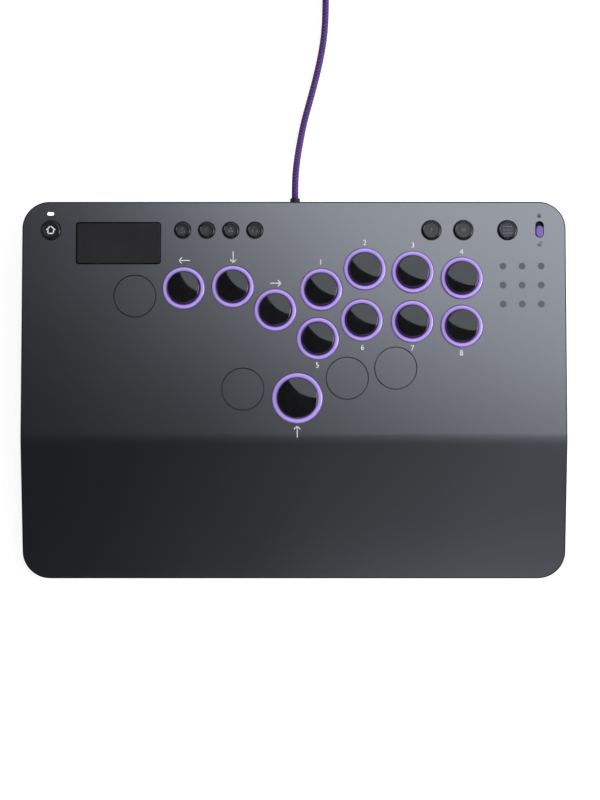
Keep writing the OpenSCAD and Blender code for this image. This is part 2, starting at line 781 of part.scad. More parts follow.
top_panel();
bottom_tray();
rubber_feet();
case_screws();
main_board();
board_screws();
board_chips();
switch_housings();
switch_springs();
ring_leds();
small_light_rings();
large_light_ring();
blanking_plugs();
tact_switches();
lock_switch_body();
status_light_guide();
usb_c_receptacle();
headset_jack();
touch_plate();
touch_sensor_board();
touch_carrier();
lock_knob();
usb_c_plug();
usb_cord();
usb_cord_coil();
cord_tie();
usb_a_plug();
usb_a_shell();
for (k = keys) {
    main_cap(k);
    switch_stem(k);
}
for (s = smalls)
    small_button(s);
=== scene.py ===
import math

import bmesh
import bpy
from mathutils import Matrix, Vector


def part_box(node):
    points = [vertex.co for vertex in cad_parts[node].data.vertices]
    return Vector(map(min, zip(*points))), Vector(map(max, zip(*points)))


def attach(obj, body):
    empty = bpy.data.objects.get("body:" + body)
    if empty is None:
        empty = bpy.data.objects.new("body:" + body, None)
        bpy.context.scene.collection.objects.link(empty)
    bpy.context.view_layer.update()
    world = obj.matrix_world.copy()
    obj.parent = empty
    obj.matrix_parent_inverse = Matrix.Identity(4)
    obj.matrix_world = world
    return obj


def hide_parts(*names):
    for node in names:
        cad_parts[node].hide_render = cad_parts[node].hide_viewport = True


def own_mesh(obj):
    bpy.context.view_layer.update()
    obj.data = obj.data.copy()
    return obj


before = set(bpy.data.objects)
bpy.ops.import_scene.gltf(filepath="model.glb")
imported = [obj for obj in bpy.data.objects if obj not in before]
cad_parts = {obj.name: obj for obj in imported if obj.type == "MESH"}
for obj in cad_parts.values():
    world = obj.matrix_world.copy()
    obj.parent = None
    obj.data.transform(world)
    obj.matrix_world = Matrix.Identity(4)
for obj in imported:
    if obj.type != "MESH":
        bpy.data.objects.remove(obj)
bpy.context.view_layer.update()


# ---- Camera ----
# It stands over the middle of the case and looks almost straight down, so the case fills the width
# of an upright picture and the cable runs out towards the top.

CAMERA_AT, CAMERA_LEAN_DEG, CAMERA_LENS = (0.00442, -0.04533, 0.928), 2.41, 55.44
bpy.ops.object.camera_add(location=CAMERA_AT, rotation=(math.radians(CAMERA_LEAN_DEG), 0, 0))
camera = bpy.context.object
camera.data.lens = CAMERA_LENS
bpy.context.scene.camera = camera
bpy.context.scene.view_settings.view_transform = "Standard"


# ---- Cable ----
# A 3 m USB cable in a purple braided sleeve, 5 mm thick. It leaves the plug in the case's back edge,
# drops to the table and runs to its own coil, where most of its length is wound in four layers.

CORD_D, CORD_STEP = 0.005, 0.004
COIL_AT = (-0.0145, 0.345)
COIL_OUT_R, COIL_IN_R = 0.03844, 0.02156
COIL_TURNS_WIDE = 3.375
COIL_LOW = 0.0033

cord_route = [
    (0.0007, 0.1422, 0.015), (0.0007, 0.151, 0.015), (0.001, 0.160, 0.0142),
    (0.0017, 0.169, 0.0116), (0.0028, 0.178, 0.0082), (0.0042, 0.187, 0.0052),
    (0.006, 0.197, 0.0034), (0.0084, 0.208, 0.0028), (0.0114, 0.219, 0.0026),
    (0.0146, 0.231, 0.0026), (0.0176, 0.243, 0.0026), (0.0202, 0.255, 0.0026),
    (0.0222, 0.267, 0.0026), (0.0234, 0.279, 0.0026), (0.0239, 0.292, 0.0027),
    (0.024, 0.306, 0.0029), (0.024, 0.320, 0.0031), (0.024, 0.332, 0.0033),
]
tail_route = [
    (-0.025, 0.3833, 0.0178), (-0.035, 0.3828, 0.0156), (-0.044, 0.3819, 0.012),
    (-0.053, 0.3806, 0.0082), (-0.061, 0.3792, 0.0054), (-0.069, 0.3782, 0.0042),
    (-0.076, 0.378, 0.004), (-0.080, 0.378, 0.004),
]


def coil_route(steps_a_turn=24):
    """The coil's turns: in, up, out, up, in, up, out, anticlockwise from +X."""
    points, angle = [], 0.0
    for layer in range(4):
        low = COIL_LOW + layer * CORD_D
        start, end = (COIL_OUT_R, COIL_IN_R) if layer % 2 == 0 else (COIL_IN_R, COIL_OUT_R)
        spans = [(COIL_TURNS_WIDE, start, end, low, low)]
        if layer < 3:
            spans.append((0.25, end, end, low, low + CORD_D))
        for turns, r_from, r_to, z_from, z_to in spans:
            steps = round(turns * steps_a_turn)
            for i in range(steps):
                share = i / steps
                ease = share * share * (3 - 2 * share)
                r = r_from + (r_to - r_from) * share
                a = angle + 2 * math.pi * turns * share
                points.append((COIL_AT[0] + r * math.cos(a), COIL_AT[1] + r * math.sin(a),
                               z_from + (z_to - z_from) * ease))
            angle += 2 * math.pi * turns
    points.append((COIL_AT[0], COIL_AT[1] + COIL_OUT_R, COIL_LOW + 3 * CORD_D))
    return points


def even_line(points, step):
    """The same route rounded through its points, with a point every step along it."""
    ends = [Vector(points[0]) * 2 - Vector(points[1])]
    ends += [Vector(p) for p in points]
    ends.append(Vector(points[-1]) * 2 - Vector(points[-2]))
    fine = []
    for before, a, b, after in zip(ends, ends[1:], ends[2:], ends[3:]):
        for i in range(8):
            t = i / 8
            fine.append(0.5 * (2 * a + (b - before) * t + (2 * before - 5 * a + 4 * b - after) * t * t
                               + (3 * a - before - 3 * b + after) * t ** 3))
    fine.append(ends[-2])
    total = sum((b - a).length for a, b in zip(fine, fine[1:]))
    gap = total / round(total / step)
    line, due = [fine[0]], gap
    for a, b in zip(fine, fine[1:]):
        length = (b - a).length
        while due <= length:
            line.append(a.lerp(b, due / length))
            due += gap
        due -= length
    if (line[-1] - fine[-1]).length > gap / 2:
        line.append(fine[-1])
    else:
        line[-1] = fine[-1]
    return line, total


def nothing_selected():
    if bpy.context.object and bpy.context.object.mode != "OBJECT":
        bpy.ops.object.mode_set(mode="OBJECT")
    bpy.ops.object.select_all(action="DESELECT")


def only(piece):
    """Selects one piece and makes it the active one."""
    nothing_selected()
    piece.select_set(True)
    bpy.context.view_layer.objects.active = piece


def sealed(piece):
    """Merges the points of a piece that lie together, and closes any slit left between its faces."""
    only(piece)
    bpy.ops.object.mode_set(mode="EDIT")
    bpy.ops.mesh.select_mode(type="VERT")
    bpy.ops.mesh.select_all(action="SELECT")
    bpy.ops.mesh.remove_doubles(threshold=0.000005)
    bpy.ops.mesh.select_all(action="DESELECT")
    bpy.ops.mesh.select_non_manifold()
    bpy.ops.mesh.fill_holes(sides=12)
    bpy.ops.object.mode_set(mode="OBJECT")


cord_line, cord_length = even_line(cord_route + coil_route() + tail_route, CORD_STEP)
cord_curve = bpy.data.curves.new("usb_cable", "CURVE")
cord_curve.dimensions = "3D"
cord_spline = cord_curve.splines.new("POLY")
cord_spline.points.add(len(cord_line) - 1)
for point, place in zip(cord_spline.points, cord_line):
    point.co = (*place, 1)
cord_curve.bevel_depth = CORD_D / 2
cord_curve.bevel_resolution = 4
cord_curve.use_fill_caps = True
cable = bpy.data.objects.new("usb_cable", cord_curve)
bpy.context.scene.collection.objects.link(cable)
only(cable)
bpy.ops.object.convert(target="MESH")
cable = bpy.context.object
sealed(cable)
bpy.ops.object.shade_smooth()


def shader_of(material):
    return material.node_tree.nodes["Principled BSDF"]


def finish(name, colour, roughness, more=()):
    """A new material: its colour, its roughness, and more of its shader's own values by name."""
    made = bpy.data.materials.new(name)
    made.use_nodes = True
    values = {"Base Color": (*colour, 1), "Roughness": roughness, **dict(more)}
    for value_name, value in values.items():
        shader_of(made).inputs[value_name].default_value = value
    return made


def node(material, kind, inputs=(), **settings):
    """Adds a shader node, sets its own settings, and fills its inputs with numbers or links."""
    made = material.node_tree.nodes.new("ShaderNode" + kind)
    for name, value in settings.items():
        setattr(made, name, value)
    for name, value in dict(inputs).items():
        if isinstance(value, bpy.types.NodeSocket):
            material.node_tree.links.new(value, made.inputs[name])
        else:
            made.inputs[name].default_value = value
    return made


def sums(material, operation, *values):
    """One step of arithmetic on sockets or numbers."""
    return node(material, "Math", dict(enumerate(values)), operation=operation).outputs[0]


def two_tones(material, factor, low, high, from_, to):
    """A blend from one colour to another as the factor goes from one value to the next."""
    ramp = node(material, "ValToRGB", {"Fac": factor})
    ramp.color_ramp.elements[0].position, ramp.color_ramp.elements[0].color = from_, (*low, 1)
    ramp.color_ramp.elements[1].position, ramp.color_ramp.elements[1].color = to, (*high, 1)
    return ramp.outputs["Color"]


def feed(material, name, socket):
    """Leads a node's output into the shader's input of that name."""
    material.node_tree.links.new(socket, shader_of(material).inputs[name])


def bumped(material, height, strength, depth):
    """Lets a pattern stand out of the surface, by a depth in metres."""
    bump = node(material, "Bump", {"Height": height, "Strength": strength, "Distance": depth})
    feed(material, "Normal", bump.outputs["Normal"])


BRAID_PITCH, BRAID_STRANDS = 0.0025, 4
braid = finish("purple_braid", (0.15, 0.05, 0.32), 0.55,
               {"Sheen Weight": 0.04, "Sheen Roughness": 0.4, "Specular IOR Level": 0.3})
braid_uv = node(braid, "SeparateXYZ", {0: node(braid, "TexCoord").outputs["UV"]}).outputs
braid_along = sums(braid, "MULTIPLY", braid_uv[0], math.pi * cord_length / BRAID_PITCH)
braid_round = sums(braid, "MULTIPLY", braid_uv[1], math.pi * BRAID_STRANDS)
braid_weave = sums(
    braid, "MULTIPLY",
    sums(braid, "SINE", sums(braid, "ADD", braid_along, braid_round)),
    sums(braid, "SINE", sums(braid, "SUBTRACT", braid_along, braid_round)),
)
braid_height = sums(braid, "POWER", sums(braid, "ABSOLUTE", braid_weave), 0.8)
# The sleeve's colour follows the weave's height, dark in the hollows between the strands: painted shade.
feed(braid, "Base Color",
     two_tones(braid, braid_height, (0.016, 0.003, 0.055), (0.105, 0.030, 0.25), 0.15, 0.95))
bumped(braid, braid_height, 0.7, 0.0004)
cable.data.materials.append(braid)
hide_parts("usb_cord", "usb_cord_coil")
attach(cable, "case")


# ---- Plugs and tie ----
# Two moulded black plugs: the small one sits in the case's back edge with its collar showing, the
# large one lies on the table with finger grooves and a pressed steel shell. A woven strap holds the coil.

def block(name, low, high):
    """A box between two corners, with its place in its mesh."""
    nothing_selected()
    middle = [(a + b) / 2 for a, b in zip(low, high)]
    bpy.ops.mesh.primitive_cube_add(size=1, location=middle, scale=[b - a for a, b in zip(low, high)])
    bpy.ops.object.transform_apply(location=True, rotation=True, scale=True)
    bpy.context.object.name = bpy.context.object.data.name = name
    return bpy.context.object


def pick(piece, kind, test):
    """In edit mode, selects the piece's VERTs, EDGEs or FACEs that pass a test, and nothing else."""
    only(piece)
    bpy.ops.object.mode_set(mode="EDIT")
    bpy.ops.mesh.select_mode(type=kind)
    bpy.ops.mesh.select_all(action="DESELECT")
    mesh = bmesh.from_edit_mesh(piece.data)
    for part in {"VERT": mesh.verts, "EDGE": mesh.edges, "FACE": mesh.faces}[kind]:
        part.select_set(bool(test(part)))
    mesh.select_flush_mode()
    bmesh.update_edit_mesh(piece.data)


def runs(axis):
    """A test for edges that run along X, Y or Z: 0, 1 or 2."""
    return lambda edge: abs((edge.verts[1].co - edge.verts[0].co).normalized()[axis]) > 0.99


def rim(axis, place):
    """A test for the edges round a flat end of a piece: the end's axis, and where it lies on it."""
    return lambda edge: all(abs(v.co[axis] - place) < 0.0001 for v in edge.verts)


def middle_of(part):
    return sum((v.co for v in part.verts), Vector()) / len(part.verts)


def soften(piece, test, width, segments=3):
    """Rounds or chamfers the edges of a piece that pass a test."""
    pick(piece, "EDGE", test)
    bpy.ops.mesh.bevel(offset=width, segments=segments, affect="EDGES")
    bpy.ops.object.mode_set(mode="OBJECT")


def joined(name, pieces):
    only(pieces[0])
    for piece in pieces[1:]:
        piece.select_set(True)
    bpy.ops.object.join()
    bpy.context.object.name = bpy.context.object.data.name = name
    return bpy.context.object


def modified(piece, kind, **settings):
    """Gives a piece a modifier with its own settings, and applies it."""
    modifier = piece.modifiers.new(kind.lower(), kind)
    for name, value in settings.items():
        setattr(modifier, name, value)
    only(piece)
    bpy.ops.object.modifier_apply(modifier=modifier.name)


def carve(piece, tool, operation="DIFFERENCE"):
    """Cuts a tool out of a piece, or fuses it on, and throws the tool away."""
    modified(piece, "BOOLEAN", operation=operation, solver="EXACT", object=tool)
    bpy.data.objects.remove(tool)


def smooth(piece, coat, angle=35):
    """Gives a piece its material, and smooth shading across edges flatter than an angle."""
    only(piece)
    piece.data.materials.append(coat)
    bpy.ops.object.shade_smooth_by_angle(angle=math.radians(angle))


def mottle(material, scale, detail, place=None):
    """A soft random pattern, 0 to 1, that lies still on the piece."""
    if place is None:
        place = node(material, "TexCoord").outputs["Object"]
    return node(material, "TexNoise", {"Vector": place, "Scale": scale, "Detail": detail}).outputs["Fac"]


def uneven(material, pattern, colour, roughness, tint, drift):
    """Lets the colour and the roughness wander by a share of themselves with a pattern."""
    gloss = node(material, "MapRange", {
        "Value": pattern, "From Min": 0.3, "From Max": 0.7,
        "To Min": roughness * (1 - drift), "To Max": roughness * (1 + drift),
    })
    feed(material, "Roughness", gloss.outputs["Result"])
    feed(material, "Base Color", two_tones(material, pattern, [c * (1 - tint) for c in colour],
                                           [c * (1 + tint) for c in colour], 0.3, 0.7))


def moulded(name, colour, roughness, grain=0.0003, depth=0.00002, drift=0.25, more=()):
    """Moulded plastic or rubber: fine grain in the surface, and a gloss that drifts a little."""
    made = finish(name, colour, roughness, more)
    bumped(made, mottle(made, 1 / grain, 3.0), 0.5, depth)
    uneven(made, mottle(made, 45.0, 4.0), colour, roughness, 0.2, drift)
    return made


def metal(name, colour, roughness, grain, depth, stretch=(1, 1, 1)):
    """Metal with a fine, even texture: blasted, drawn or brushed, as its stretch says."""
    made = finish(name, colour, roughness, {"Metallic": 1.0})
    place = node(made, "Mapping", {"Vector": node(made, "TexCoord").outputs["Object"], "Scale": stretch})
    bumped(made, mottle(made, 1 / grain, 2.0, place.outputs[0]), 0.4, depth)
    uneven(made, mottle(made, 9.0, 1.0, place.outputs[0]), colour, roughness, 0.02, 0.02)
    return made


def drawn(name, start, steps):
    """A line of edges from a start along each step in turn, left open in edit mode, all selected."""
    nothing_selected()
    bpy.ops.mesh.primitive_plane_add(size=0.0001)
    piece = bpy.context.object
    piece.name = piece.data.name = name
    bpy.ops.object.mode_set(mode="EDIT")
    bpy.ops.mesh.select_mode(type="VERT")
    bpy.ops.mesh.merge(type="CENTER")
    bpy.ops.transform.translate(value=start)
    for step in steps:
        bpy.ops.mesh.extrude_vertices_move(TRANSFORM_OT_translate={"value": step})
    bpy.ops.mesh.select_all(action="SELECT")
    return piece


def faced_out(piece):
    """Merges the points of a piece that lie together, and turns its faces outwards."""
    pick(piece, "VERT", lambda v: True)
    bpy.ops.mesh.remove_doubles(threshold=0.000002)
    bpy.ops.mesh.normals_make_consistent(inside=False)
    bpy.ops.object.mode_set(mode="OBJECT")
    return piece


def turned(name, outline, at=(0, 0), steps=96):
    """A round piece spun about an upright axis from its side outline, (radius, height) pairs."""
    ahead = [(b[0] - a[0], 0, b[1] - a[1]) for a, b in zip(outline, outline[1:])]
    piece = drawn(name, (at[0] + outline[0][0], at[1], outline[0][1]), ahead)
    bpy.ops.mesh.spin(steps=steps, angle=2 * math.pi, center=(*at, 0), axis=(0, 0, 1))
    return faced_out(piece)


def bend(r_mid, z_mid, r, from_deg, to_deg, steps=6, tall=None):
    """Points along a round, turning from +X; tall is its height if it isn't as tall as it is wide."""
    angles = [math.radians(from_deg + (to_deg - from_deg) * i / steps) for i in range(steps + 1)]
    return [(r_mid + r * math.cos(a), z_mid + (tall or r) * math.sin(a)) for a in angles]


def laid(piece, place, turn=(0, 0, 0)):
    """Turns a finished piece and carries it to its place, and keeps that in its mesh."""
    only(piece)
    piece.rotation_euler = [math.radians(a) for a in turn]
    piece.location = place
    bpy.ops.object.transform_apply(location=True, rotation=True, scale=True)
    return piece


plug_black = moulded("plug_black", (0.006, 0.006, 0.008), 0.46, more={"Specular IOR Level": 0.25})
COLLAR_LEN, TONGUE_LEN = 0.0087, 0.0065
C_LOW, C_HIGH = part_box("usb_c_plug")
C_MID = (C_LOW + C_HIGH) / 2
COLLAR_FROM = C_HIGH.y - 0.00745
collar = turned("usb_c_collar", [
    (0, 0), (0.00375, 0), (0.00375, 0.0044), (0.00345, 0.0047), (0.00345, 0.0052), (0.00375, 0.0055),
    *bend(0.00345, COLLAR_LEN - 0.0003, 0.0003, 0, 90, 4), (0.0026, COLLAR_LEN), (0, COLLAR_LEN),
], steps=48)
laid(collar, (C_MID.x, COLLAR_FROM, C_MID.z), (-90, 0, 0))
overmould = block("usb_c_body", (C_LOW.x, C_LOW.y + TONGUE_LEN, C_MID.z - 0.0035),
                  (C_HIGH.x, COLLAR_FROM, C_MID.z + 0.0035))
soften(overmould, runs(1), 0.0034, 8)
soften(overmould, rim(1, COLLAR_FROM), 0.0006)
tongue = block("usb_c_tongue", (C_MID.x - 0.0041, C_LOW.y, C_MID.z - 0.0012),
               (C_MID.x + 0.0041, C_LOW.y + TONGUE_LEN, C_MID.z + 0.0012))
soften(tongue, runs(1), 0.00115, 6)
small_plug = joined("usb_c_plug_moulded", [collar, overmould, tongue])
smooth(small_plug, plug_black)
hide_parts("usb_c_plug")
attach(small_plug, "case")

A_LOW, A_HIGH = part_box("usb_a_plug")
A_MID = (A_LOW + A_HIGH) / 2
RELIEF, GROOVE_W, GROOVE_STEP, GROOVE_OUT, GROOVE_END = 0.008, 0.0012, 0.0026, 0.00795, 0.0012
grip = block("usb_a_grip", A_LOW, (A_HIGH.x - RELIEF, A_HIGH.y, A_HIGH.z))
soften(grip, runs(0), 0.0015, 4)
soften(grip, rim(0, A_HIGH.x - RELIEF), 0.001, 3)
soften(grip, rim(0, A_LOW.x), 0.0005, 2)
for i in range(5):
    x, low, high = A_LOW.x + 0.006 + i * GROOVE_STEP, A_LOW.z + GROOVE_END, A_HIGH.z - GROOVE_END
    grooves = [block("groove", (x, y - 0.001, low), (x + GROOVE_W, y + 0.001, high))
               for y in (A_MID.y - GROOVE_OUT, A_MID.y + GROOVE_OUT)]
    carve(grip, joined("grooves", grooves))
relief = turned("usb_a_relief", [
    (0, -0.0004), (0.0038, -0.0004), (0.0037, 0.0016), (0.0033, 0.0018), (0.0033, 0.0024), (0.0036, 0.0026),
    (0.0035, 0.0042), (0.0031, 0.0044), (0.0031, 0.005), (0.0034, 0.0052), (0.0032, 0.0074),
    (0.0029, 0.008), (0, 0.008),
], steps=48)
laid(relief, (A_HIGH.x - RELIEF, A_MID.y, A_MID.z), (0, 90, 0))
big_plug = joined("usb_a_plug_moulded", [grip, relief])
smooth(big_plug, plug_black)
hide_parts("usb_a_plug")
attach(big_plug, "case")

S_LOW, S_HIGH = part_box("usb_a_shell")
S_MID = (S_LOW + S_HIGH) / 2
shell = block("usb_a_shell_pressed", S_LOW, S_HIGH)
soften(shell, runs(0), 0.0005, 3)
shell_cuts = [block("mouth", (S_LOW.x - 0.001, S_LOW.y + 0.0003, S_MID.z - 0.0002),
                    (S_HIGH.x - 0.001, S_HIGH.y - 0.0003, S_HIGH.z - 0.0003))]
shell_cuts += [block("latch_hole", (S_LOW.x + 0.0042, S_MID.y + s * 0.0028 - 0.0011, S_MID.z),
                     (S_LOW.x + 0.0064, S_MID.y + s * 0.0028 + 0.0011, S_HIGH.z + 0.001)) for s in (-1, 1)]
carve(shell, joined("shell_cuts", shell_cuts))
smooth(shell, metal("pressed_steel", (0.62, 0.62, 0.64), 0.28, 0.0004, 0.000004, (1, 12, 12)))
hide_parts("usb_a_shell")
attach(shell, "case")

TIE_DEG, TIE_W, TIE_T, TIE_TOP, TIE_TURN_R = 205, 0.010, 0.0008, 0.0216, 0.0369
tie_mid_r = (COIL_IN_R + TIE_TURN_R) / 2
tie_half = (TIE_TURN_R - COIL_IN_R + CORD_D) / 2 + TIE_T
strap = block("coil_strap", (tie_mid_r - tie_half, -TIE_W / 2, 0),
              (tie_mid_r + tie_half, TIE_W / 2, TIE_TOP))
soften(strap, runs(1), 0.0031, 6)
pick(strap, "FACE", lambda f: abs(f.normal.y) > 0.9)
bpy.ops.mesh.delete(type="ONLY_FACE")
bpy.ops.object.mode_set(mode="OBJECT")
modified(strap, "SOLIDIFY", thickness=TIE_T, offset=-1)
tail = block("strap_end", (tie_mid_r - 0.0082, -TIE_W / 2, TIE_TOP),
             (tie_mid_r + 0.0062, TIE_W / 2, TIE_TOP + 0.0007))
soften(tail, lambda e: runs(2)(e) and middle_of(e).x > tie_mid_r, 0.0030, 5)
strap = laid(joined("coil_strap", [strap, tail]), (*COIL_AT, 0), (0, 0, TIE_DEG))
strap_black = finish("woven_strap", (0.014, 0.014, 0.016), 0.85, {"Sheen Weight": 0.3})
strap_place = node(strap_black, "Mapping", {
    "Vector": node(strap_black, "TexCoord").outputs["Object"],
    "Rotation": (0, 0, math.radians(-TIE_DEG)),
})
strap_threads = [node(strap_black, "TexWave", {"Vector": strap_place.outputs[0], "Scale": scale},
                      bands_direction=way).outputs["Fac"] for way, scale in (("X", 420.0), ("Y", 300.0))]
strap_weave = sums(strap_black, "MULTIPLY", *strap_threads)
bumped(strap_black, strap_weave, 0.6, 0.0002)
# The strap's colour follows the weave, darker where the threads dip: painted shade in its hollows.
feed(strap_black, "Base Color",
     two_tones(strap_black, strap_weave, (0.006, 0.006, 0.007), (0.03, 0.03, 0.034), 0.1, 0.9))
smooth(strap, strap_black)
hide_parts("cord_tie")
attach(strap, "case")


# ---- Table, room and lamps ----
# A plain white sweep under a dark ceiling. One large round soft lamp stands behind and to the right;
# smaller ones to the right and in front shade the metal from dark at the left to pale at the right.

ROOM_R, WALL_H, SWEEP_R = 4.5, 2.7, 0.9
sweep = turned("white_sweep", [
    (0, 0), *[(ROOM_R * share, 0) for share in (0.02, 0.1, 0.3, 0.55)],
    *bend(ROOM_R - SWEEP_R, SWEEP_R, SWEEP_R, -90, 0, 16), (ROOM_R, WALL_H),
])
only(sweep)
bpy.ops.object.shade_smooth()
ceiling = turned("dark_ceiling", bend(0, 0, 9, 24, 90, 16), steps=64)

paper = finish("white_paper", (0.8, 0.8, 0.8), 0.9)
paper_rays = node(paper, "LightPath").outputs
paper_seen = sums(paper, "MAXIMUM", paper_rays["Is Camera Ray"],
                  sums(paper, "MAXIMUM", paper_rays["Is Glossy Ray"], paper_rays["Is Transmission Ray"]))
paper_dull = node(paper, "BsdfDiffuse", {"Color": (0.30, 0.30, 0.30, 1)})
paper_glow = node(paper, "Emission", {"Color": (1, 1, 1, 1), "Strength": 0.85})
paper_white = node(paper, "AddShader", {0: paper_dull.outputs[0], 1: paper_glow.outputs[0]})
paper_mix = node(paper, "MixShader", {0: paper_seen, 1: shader_of(paper).outputs[0],
                                    2: paper_white.outputs[0]})
paper.node_tree.links.new(paper_mix.outputs[0], paper.node_tree.nodes["Material Output"].inputs[0])
sweep.data.materials.append(paper)
ceiling.data.materials.append(finish("ceiling_dark", (0.004, 0.004, 0.004), 1.0))

world = bpy.data.worlds.new("studio")
bpy.context.scene.world = world
world.use_nodes = True
room_light = world.node_tree.nodes["Background"].inputs
room_light["Color"].default_value = (1, 1, 1, 1)
room_light["Strength"].default_value = 1.0

# Name, degrees round the table from +X, degrees above it, metres away, metres across, brightness
lamps = [
    ("key_lamp", 60.5, 58.5, 5.0, 4.6, 2.14),
    ("right_lamp", 0, 40, 3.0, 1.6, 15.5),
    ("front_lamp", -75, 45, 3.0, 1.6, 2.1),
]
for name, around, above, away, width, brightness in lamps:
    a, e = math.radians(around), math.radians(above)
    towards = Vector((math.cos(e) * math.cos(a), math.cos(e) * math.sin(a), math.sin(e)))
    bpy.ops.object.light_add(type="AREA", location=towards * away,
                             rotation=towards.to_track_quat("Z", "Y").to_euler())
    lamp = bpy.context.object
    lamp.name = name
    lamp.data.shape, lamp.data.size = "DISK", width
    lamp.data.energy = brightness * math.pi * math.pi * width ** 2 / 4
    lamp.visible_camera = False


# ---- Top panel ----
# A 2 mm sheet of dark anodised aluminium, bent down about 7.5 degrees under the palms, its edges and hole
# rims black, a painted shade and dark reflection.
# Threaded studs under it take the case screws, and every button comes up through a hole in it.

PANEL_LOW, PANEL_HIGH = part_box("top_panel")
PANEL_TOP, PANEL_T, BLANK_FRONT = 0.028, 0.002, -0.13963
PANEL_UNDER = PANEL_TOP - PANEL_T
PALM_BEND, PALM_FROM, BEND_R, BEND_STEPS = math.radians(7.61), -0.0375, 0.088, 8
BEND_FROM = PALM_FROM + BEND_R * math.tan(PALM_BEND / 2)
RING_R, BIG_RING_R, NARROW_R, WIDE_R = 0.0154, 0.0184, 0.0062, 0.0073
SEAT_GAP, SEAM_GAP, SLIDE_GAP, LIGHT_GAP = 0.0002, 0.0003, 0.00015, 0.0001
HOLE_LOW, SINK = 0.024, 0.00015
STUD_R, STUD_LEN, THREAD_R, THREAD_LEN = 0.0035, 0.006, 0.0015, 0.0052
main_names = ["left", "down", "right", "up", *"12345678"]
wide_names = ["home_button", "stick_button_left", "stick_button_right", "menu_button"]
small_names = ["home_button", *["function_button_" + digit for digit in "1234"], *wide_names[1:]]
spare_places = [(-0.1168, 0.06885), (-0.0374, 0.00055), (0.039, 0.00855), (0.0745, 0.01595)]
PAD_AT, PAD_W, PAD_D, PAD_CORNER = (-0.1291, 0.10795), 0.0618, 0.0305, 0.002
SLOT_AT, SLOT_W, SLOT_LEN = (0.1806, 0.11815), 0.006, 0.012
LIGHT_AT, LIGHT_W, LIGHT_LEN, LIGHT_CORNER = (-0.179, 0.12965), 0.0026, 0.005, 0.001
post_places = [(side * 0.1932, y) for side in (-1, 1) for y in (0.09475, 0.020, -0.060)]
post_places += [(-0.122, 0.13195), (0.050, 0.13195), (-0.120, -0.13195), (0, -0.13195), (0.120, -0.13195)]


def place_of(node_name):
    """Where a CAD node's middle is, seen from above."""
    low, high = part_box(node_name)
    return ((low.x + high.x) / 2, (low.y + high.y) / 2)


def upright(name, at, width, depth, corner, low, high, rounds=8):
    """A block with its upright corners rounded, by a hair less than half its width at most."""
    piece = block(name, (at[0] - width / 2, at[1] - depth / 2, low),
                  (at[0] + width / 2, at[1] + depth / 2, high))
    soften(piece, runs(2), min(corner, min(width, depth) / 2 - 0.00001), rounds)
    return piece


def round_hole(at, r):
    """A drill for a hole through the panel with a small countersink."""
    return turned("drill", [(0, HOLE_LOW), (r, HOLE_LOW), (r, PANEL_TOP - SINK),
                            (r + 2 * SINK, PANEL_TOP + SINK), (0, PANEL_TOP + SINK)], at)


def long_hole(at, width, depth, corner):
    """A cutter for a hole with straight sides, with the same small countersink."""
    tool = upright("cutter", at, width, depth, corner, HOLE_LOW, PANEL_TOP - SINK)
    pick(tool, "FACE", lambda f: f.normal.z > 0.9)
    bpy.ops.mesh.extrude_region_move(TRANSFORM_OT_translate={"value": (0, 0, 2 * SINK)})
    bpy.ops.transform.resize(value=((width + 4 * SINK) / width, (depth + 4 * SINK) / depth, 1),
                             center_override=(*at, 0))
    bpy.ops.object.mode_set(mode="OBJECT")
    return tool


def skin_height(y, down):
    """Height of the panel at a place from front to back, taken a distance down into the sheet."""
    slope = PANEL_TOP - down / math.cos(PALM_BEND) - (PALM_FROM - y) * math.tan(PALM_BEND)
    return min(PANEL_TOP - down, slope)


def stud_low(y):
    """How low the stud at a place from front to back reaches, which is where its screw post ends."""
    return skin_height(y - STUD_R, PANEL_T) - STUD_LEN


def second_coat(piece, coat, test):
    """Gives the faces of a piece that pass a test another material."""
    piece.data.materials.append(coat)
    pick(piece, "FACE", test)
    piece.active_material_index = 1
    bpy.ops.object.material_slot_assign()
    bpy.ops.object.mode_set(mode="OBJECT")


def even_shading(piece):
    """Keeps broad flat faces flat where they meet a rounded or chamfered edge."""
    modified(piece, "WEIGHTED_NORMAL", keep_sharp=True, weight=100)


panel = block("panel_sheet", (PANEL_LOW.x, BLANK_FRONT, PANEL_UNDER),
              (PANEL_HIGH.x, PANEL_HIGH.y, PANEL_TOP))
soften(panel, runs(2), 0.020, 24)
soften(panel, rim(2, PANEL_TOP), 0.0010, 2)
chord = 2 * BEND_R * math.sin(PALM_BEND / BEND_STEPS / 2)
for i in range(BEND_STEPS + 1):
    pick(panel, "FACE", lambda f: True)
    bpy.ops.mesh.bisect(plane_co=(0, BEND_FROM - i * chord, 0), plane_no=(0, 1, 0))
for i in reversed(range(BEND_STEPS + 1)):
    line_y = BEND_FROM - i * chord
    step = PALM_BEND / BEND_STEPS * (0.5 if i in (0, BEND_STEPS) else 1)
    pick(panel, "VERT", lambda v: v.co.y < line_y - 0.00002)
    bpy.ops.transform.rotate(value=-step, orient_axis="X", center_override=(0, line_y, PANEL_TOP))
bpy.ops.object.mode_set(mode="OBJECT")
holes = [round_hole(place_of("cap_" + name), (BIG_RING_R if name == "up" else RING_R) + SEAT_GAP)
         for name in main_names]
holes += [round_hole(at, RING_R + SEAT_GAP) for at in spare_places]
holes += [round_hole(place_of(name), (WIDE_R if name in wide_names else NARROW_R) + SLIDE_GAP)
          for name in small_names]
holes += [
    long_hole(PAD_AT, PAD_W + 2 * SEAM_GAP, PAD_D + 2 * SEAM_GAP, PAD_CORNER + SEAM_GAP),
    long_hole(SLOT_AT, SLOT_W, SLOT_LEN, SLOT_W / 2),
    long_hole(LIGHT_AT, LIGHT_LEN + 2 * LIGHT_GAP, LIGHT_W + 2 * LIGHT_GAP, LIGHT_CORNER + LIGHT_GAP),
]
carve(panel, joined("holes", holes))
studs = []
